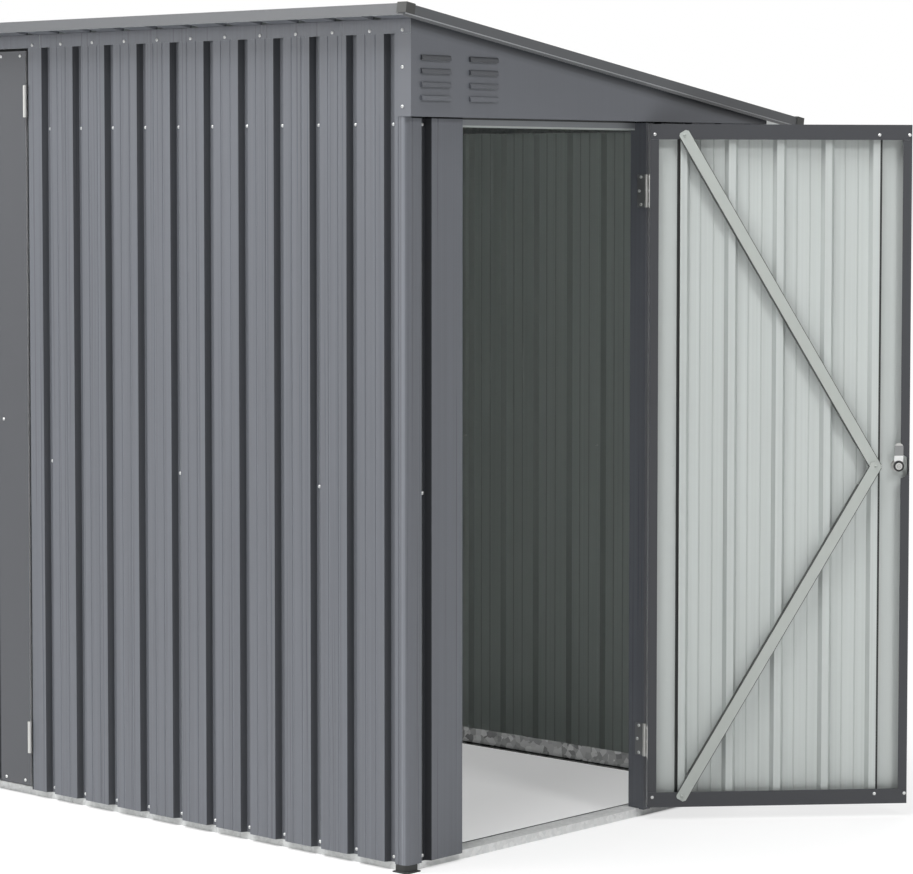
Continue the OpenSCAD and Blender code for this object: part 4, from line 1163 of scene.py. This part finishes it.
def bar_rivets(leaf):
    """Painted rivets at the ends of a door's two bars and where they cross."""
    rib = leaf.first_rib()
    spots = ((rib, BAR_TOP, leaf.low + BAR_END), (rib, BAR_TOP, leaf.high - BAR_END),
             (leaf.width - rib, 2 * BAR_TOP, leaf.middle))
    return [(leaf.place(u, DOOR_DEPTH + d, z), -leaf.outward, FULL_HEAD) for u, d, z in spots]


def rib_sides(leaf, finish):
    """Strips that close the open sides of a door sheet's two end ribs, as one mesh. Their near
    black is painted shadow of the gaps.
    """
    name = leaf.node + "_rib_sides"
    low, high = RIB_SIDE_DEPTHS
    turn = Matrix((leaf.outward.cross(UP), leaf.outward, UP)).transposed().to_4x4()
    length = leaf.high - leaf.low - 2 * RIB_SIDE_END
    size = Matrix.Diagonal((RIB_SIDE_THICKNESS, high - low, length, 1.0))
    built = bmesh.new()
    edge = leaf.sheet_edge() + RIB_SIDE_INSET
    for u in (edge, leaf.width - edge):
        centre = leaf.place(u, (low + high) / 2, leaf.middle)
        bmesh.ops.create_cube(built, size=1.0, matrix=Matrix.Translation(centre) @ turn @ size)
    mesh = bpy.data.meshes.new(name)
    built.to_mesh(mesh)
    built.free()
    mesh.materials.append(finish)
    piece = add_piece(name, mesh)
    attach(piece, leaf.body)


screw_finish = grained("screw_zinc", SCREW_ZINC, SCREW_GRAIN, SCREW_METAL)
wall_places, front_grooves = wall_screws()
shell_places = wall_places + strip_screws(front_grooves) + roof_screws()
for held in (SIDE_FRAME, RIGHT_LEAF, LEFT_LEAF):
    shell_places += hinge_screws(held, True)
set_screws("shell_screws", "shell", shell_places, screw_finish, seed=3)
rivet_finish = plain_paint("rivet_paint", BRACE_PAINT, BRACE_COAT)
# Near black for the rib strips: painted shadow in the doors' rib gaps
gap_shadow_finish = plain_paint("rib_gap_shadow_paint", SHADOW_LINE_DARK, GAP_SHADOW_COAT)
for seed, leaf, second in ((5, SIDE_LEAF, SIDE_SECOND), (7, RIGHT_LEAF, FRONT_SECOND),
                           (9, LEFT_LEAF, FRONT_SECOND)):
    set_screws(leaf.node + "_screws", leaf.body, leaf_screws(leaf, second), screw_finish, seed)
    set_screws(leaf.node + "_rivets", leaf.body, bar_rivets(leaf), rivet_finish, seed)
    rib_sides(leaf, gap_shadow_finish)


# Studio

def seen_directly(tree):
    """Mask of the rays that come from the camera, straight or by way of a mirror or glass."""
    path = add_node(tree, "ShaderNodeLightPath").outputs
    seen = larger(tree, path["Is Camera Ray"], path["Is Glossy Ray"])
    return larger(tree, seen, path["Is Transmission Ray"])


def mix_white(tree, kind, share, lit, end):
    """Mixes so much plain white into a lit shader, and shows the result at the tree's end."""
    white = add_node(tree, kind, {"Color": WHITE, "Strength": 1.0})
    shaders = {0: share, 1: lit.outputs[0], 2: white.outputs[0]}
    mixed = add_node(tree, "ShaderNodeMixShader", shaders)
    tree.links.new(mixed.outputs[0], tree.nodes[end].inputs["Surface"])


def pale_floor():
    """Wide pale floor. The camera and mirrors see part of it as plain white, all of it far out.
    Inside and beside the walls that white is painted light that lifts the floor's shade.
    """
    bpy.ops.mesh.primitive_circle_add(vertices=FLOOR_FACETS, radius=FLOOR_RADIUS,
                                      fill_type="NGON", location=(0, 0, 0))
    floor = bpy.context.object
    floor.name = "studio_floor"
    material, tree, shader = new_material("studio_floor")
    shader.inputs["Base Color"].default_value = FLOOR_PALE
    shader.inputs["Roughness"].default_value = FLOOR_ROUGHNESS
    centre = ((LEFT + RIGHT) / 2, (FRONT + REAR) / 2, 0.0)
    half = ((RIGHT - LEFT) / 2, (REAR - FRONT) / 2, 0.0)
    offset = offset_from(tree, coordinates(tree)["Object"], centre)
    sides = vector_math(tree, "ABSOLUTE", {0: offset})[0]
    beyond = parts_of(tree, offset_from(tree, sides, half))
    reach = larger(tree, beyond["X"], beyond["Y"])
    # Painted light: the white share that lifts the floor's shade inside and beside the walls
    near = ramp(tree, reach, (-FLOOR_EDGE, 0.0), FLOOR_PAINTED_LIGHT)
    far = ramp(tree, reach, (0.0, FLOOR_FAR), (0.0, 1.0 - FLOOR_PAINTED_LIGHT[1]),
               interpolation_type="SMOOTHSTEP")
    share = times(tree, plus(tree, near, far), seen_directly(tree))
    mix_white(tree, "ShaderNodeEmission", share, shader, "Material Output")
    floor.data.materials.append(material)


def studio_world():
    """Soft even surround that the camera and mirrors see as white."""
    world = bpy.data.worlds.new("studio")
    bpy.context.scene.world = world
    world.use_nodes = True
    tree = world.node_tree
    soft = tree.nodes["Background"]
    soft.inputs["Color"].default_value = WHITE
    soft.inputs["Strength"].default_value = SURROUND
    mix_white(tree, "ShaderNodeBackground", seen_directly(tree), soft, "World Output")


def soft_box(name, place, aim, size, power):
    """A rectangular area lamp that looks at a point."""
    data = bpy.data.lights.new(name, "AREA")
    data.shape = "RECTANGLE"
    data.size, data.size_y = size
    data.energy = power
    lamp = add_piece(name, data)
    lamp.location = place
    lamp.rotation_euler = (Vector(aim) - Vector(place)).to_track_quat("-Z", "Y").to_euler()


def photo_camera():
    """Camera at the photograph's place. Its pose was solved from the wall, door and roof edges."""
    place = Vector((RIGHT, FRONT, 0)) + Vector(CAMERA_OFFSET)
    yaw, pitch, roll = (math.radians(turn) for turn in CAMERA_TURNS)
    level = math.cos(pitch)
    ahead = Vector((math.sin(yaw) * level, math.cos(yaw) * level, math.sin(pitch)))
    side = Vector((math.cos(yaw), -math.sin(yaw), 0))
    over = side.cross(ahead)
    right = side * math.cos(roll) + over * math.sin(roll)
    higher = over * math.cos(roll) - side * math.sin(roll)
    data = bpy.data.cameras.new("photo_camera")
    camera = add_piece("photo_camera", data)
    turn = Matrix((right, higher, -ahead)).transposed()
    camera.matrix_world = Matrix.Translation(place) @ turn.to_4x4()
    data.sensor_width = SENSOR_MM
    data.lens = FOCAL_PX * SENSOR_MM / IMAGE_W
    data.shift_x = -SHIFT_PX[0] / IMAGE_W
    data.shift_y = SHIFT_PX[1] / IMAGE_W
    bpy.context.scene.camera = camera


pale_floor()
studio_world()
middle = (cad_box[0] + cad_box[1]) / 2
for lamp_name, lamp_place, lamp_size, watts in LAMPS:
    soft_box(lamp_name, lamp_place, middle, lamp_size, watts)
photo_camera()

view = bpy.context.scene.view_settings
view.view_transform = "Standard"
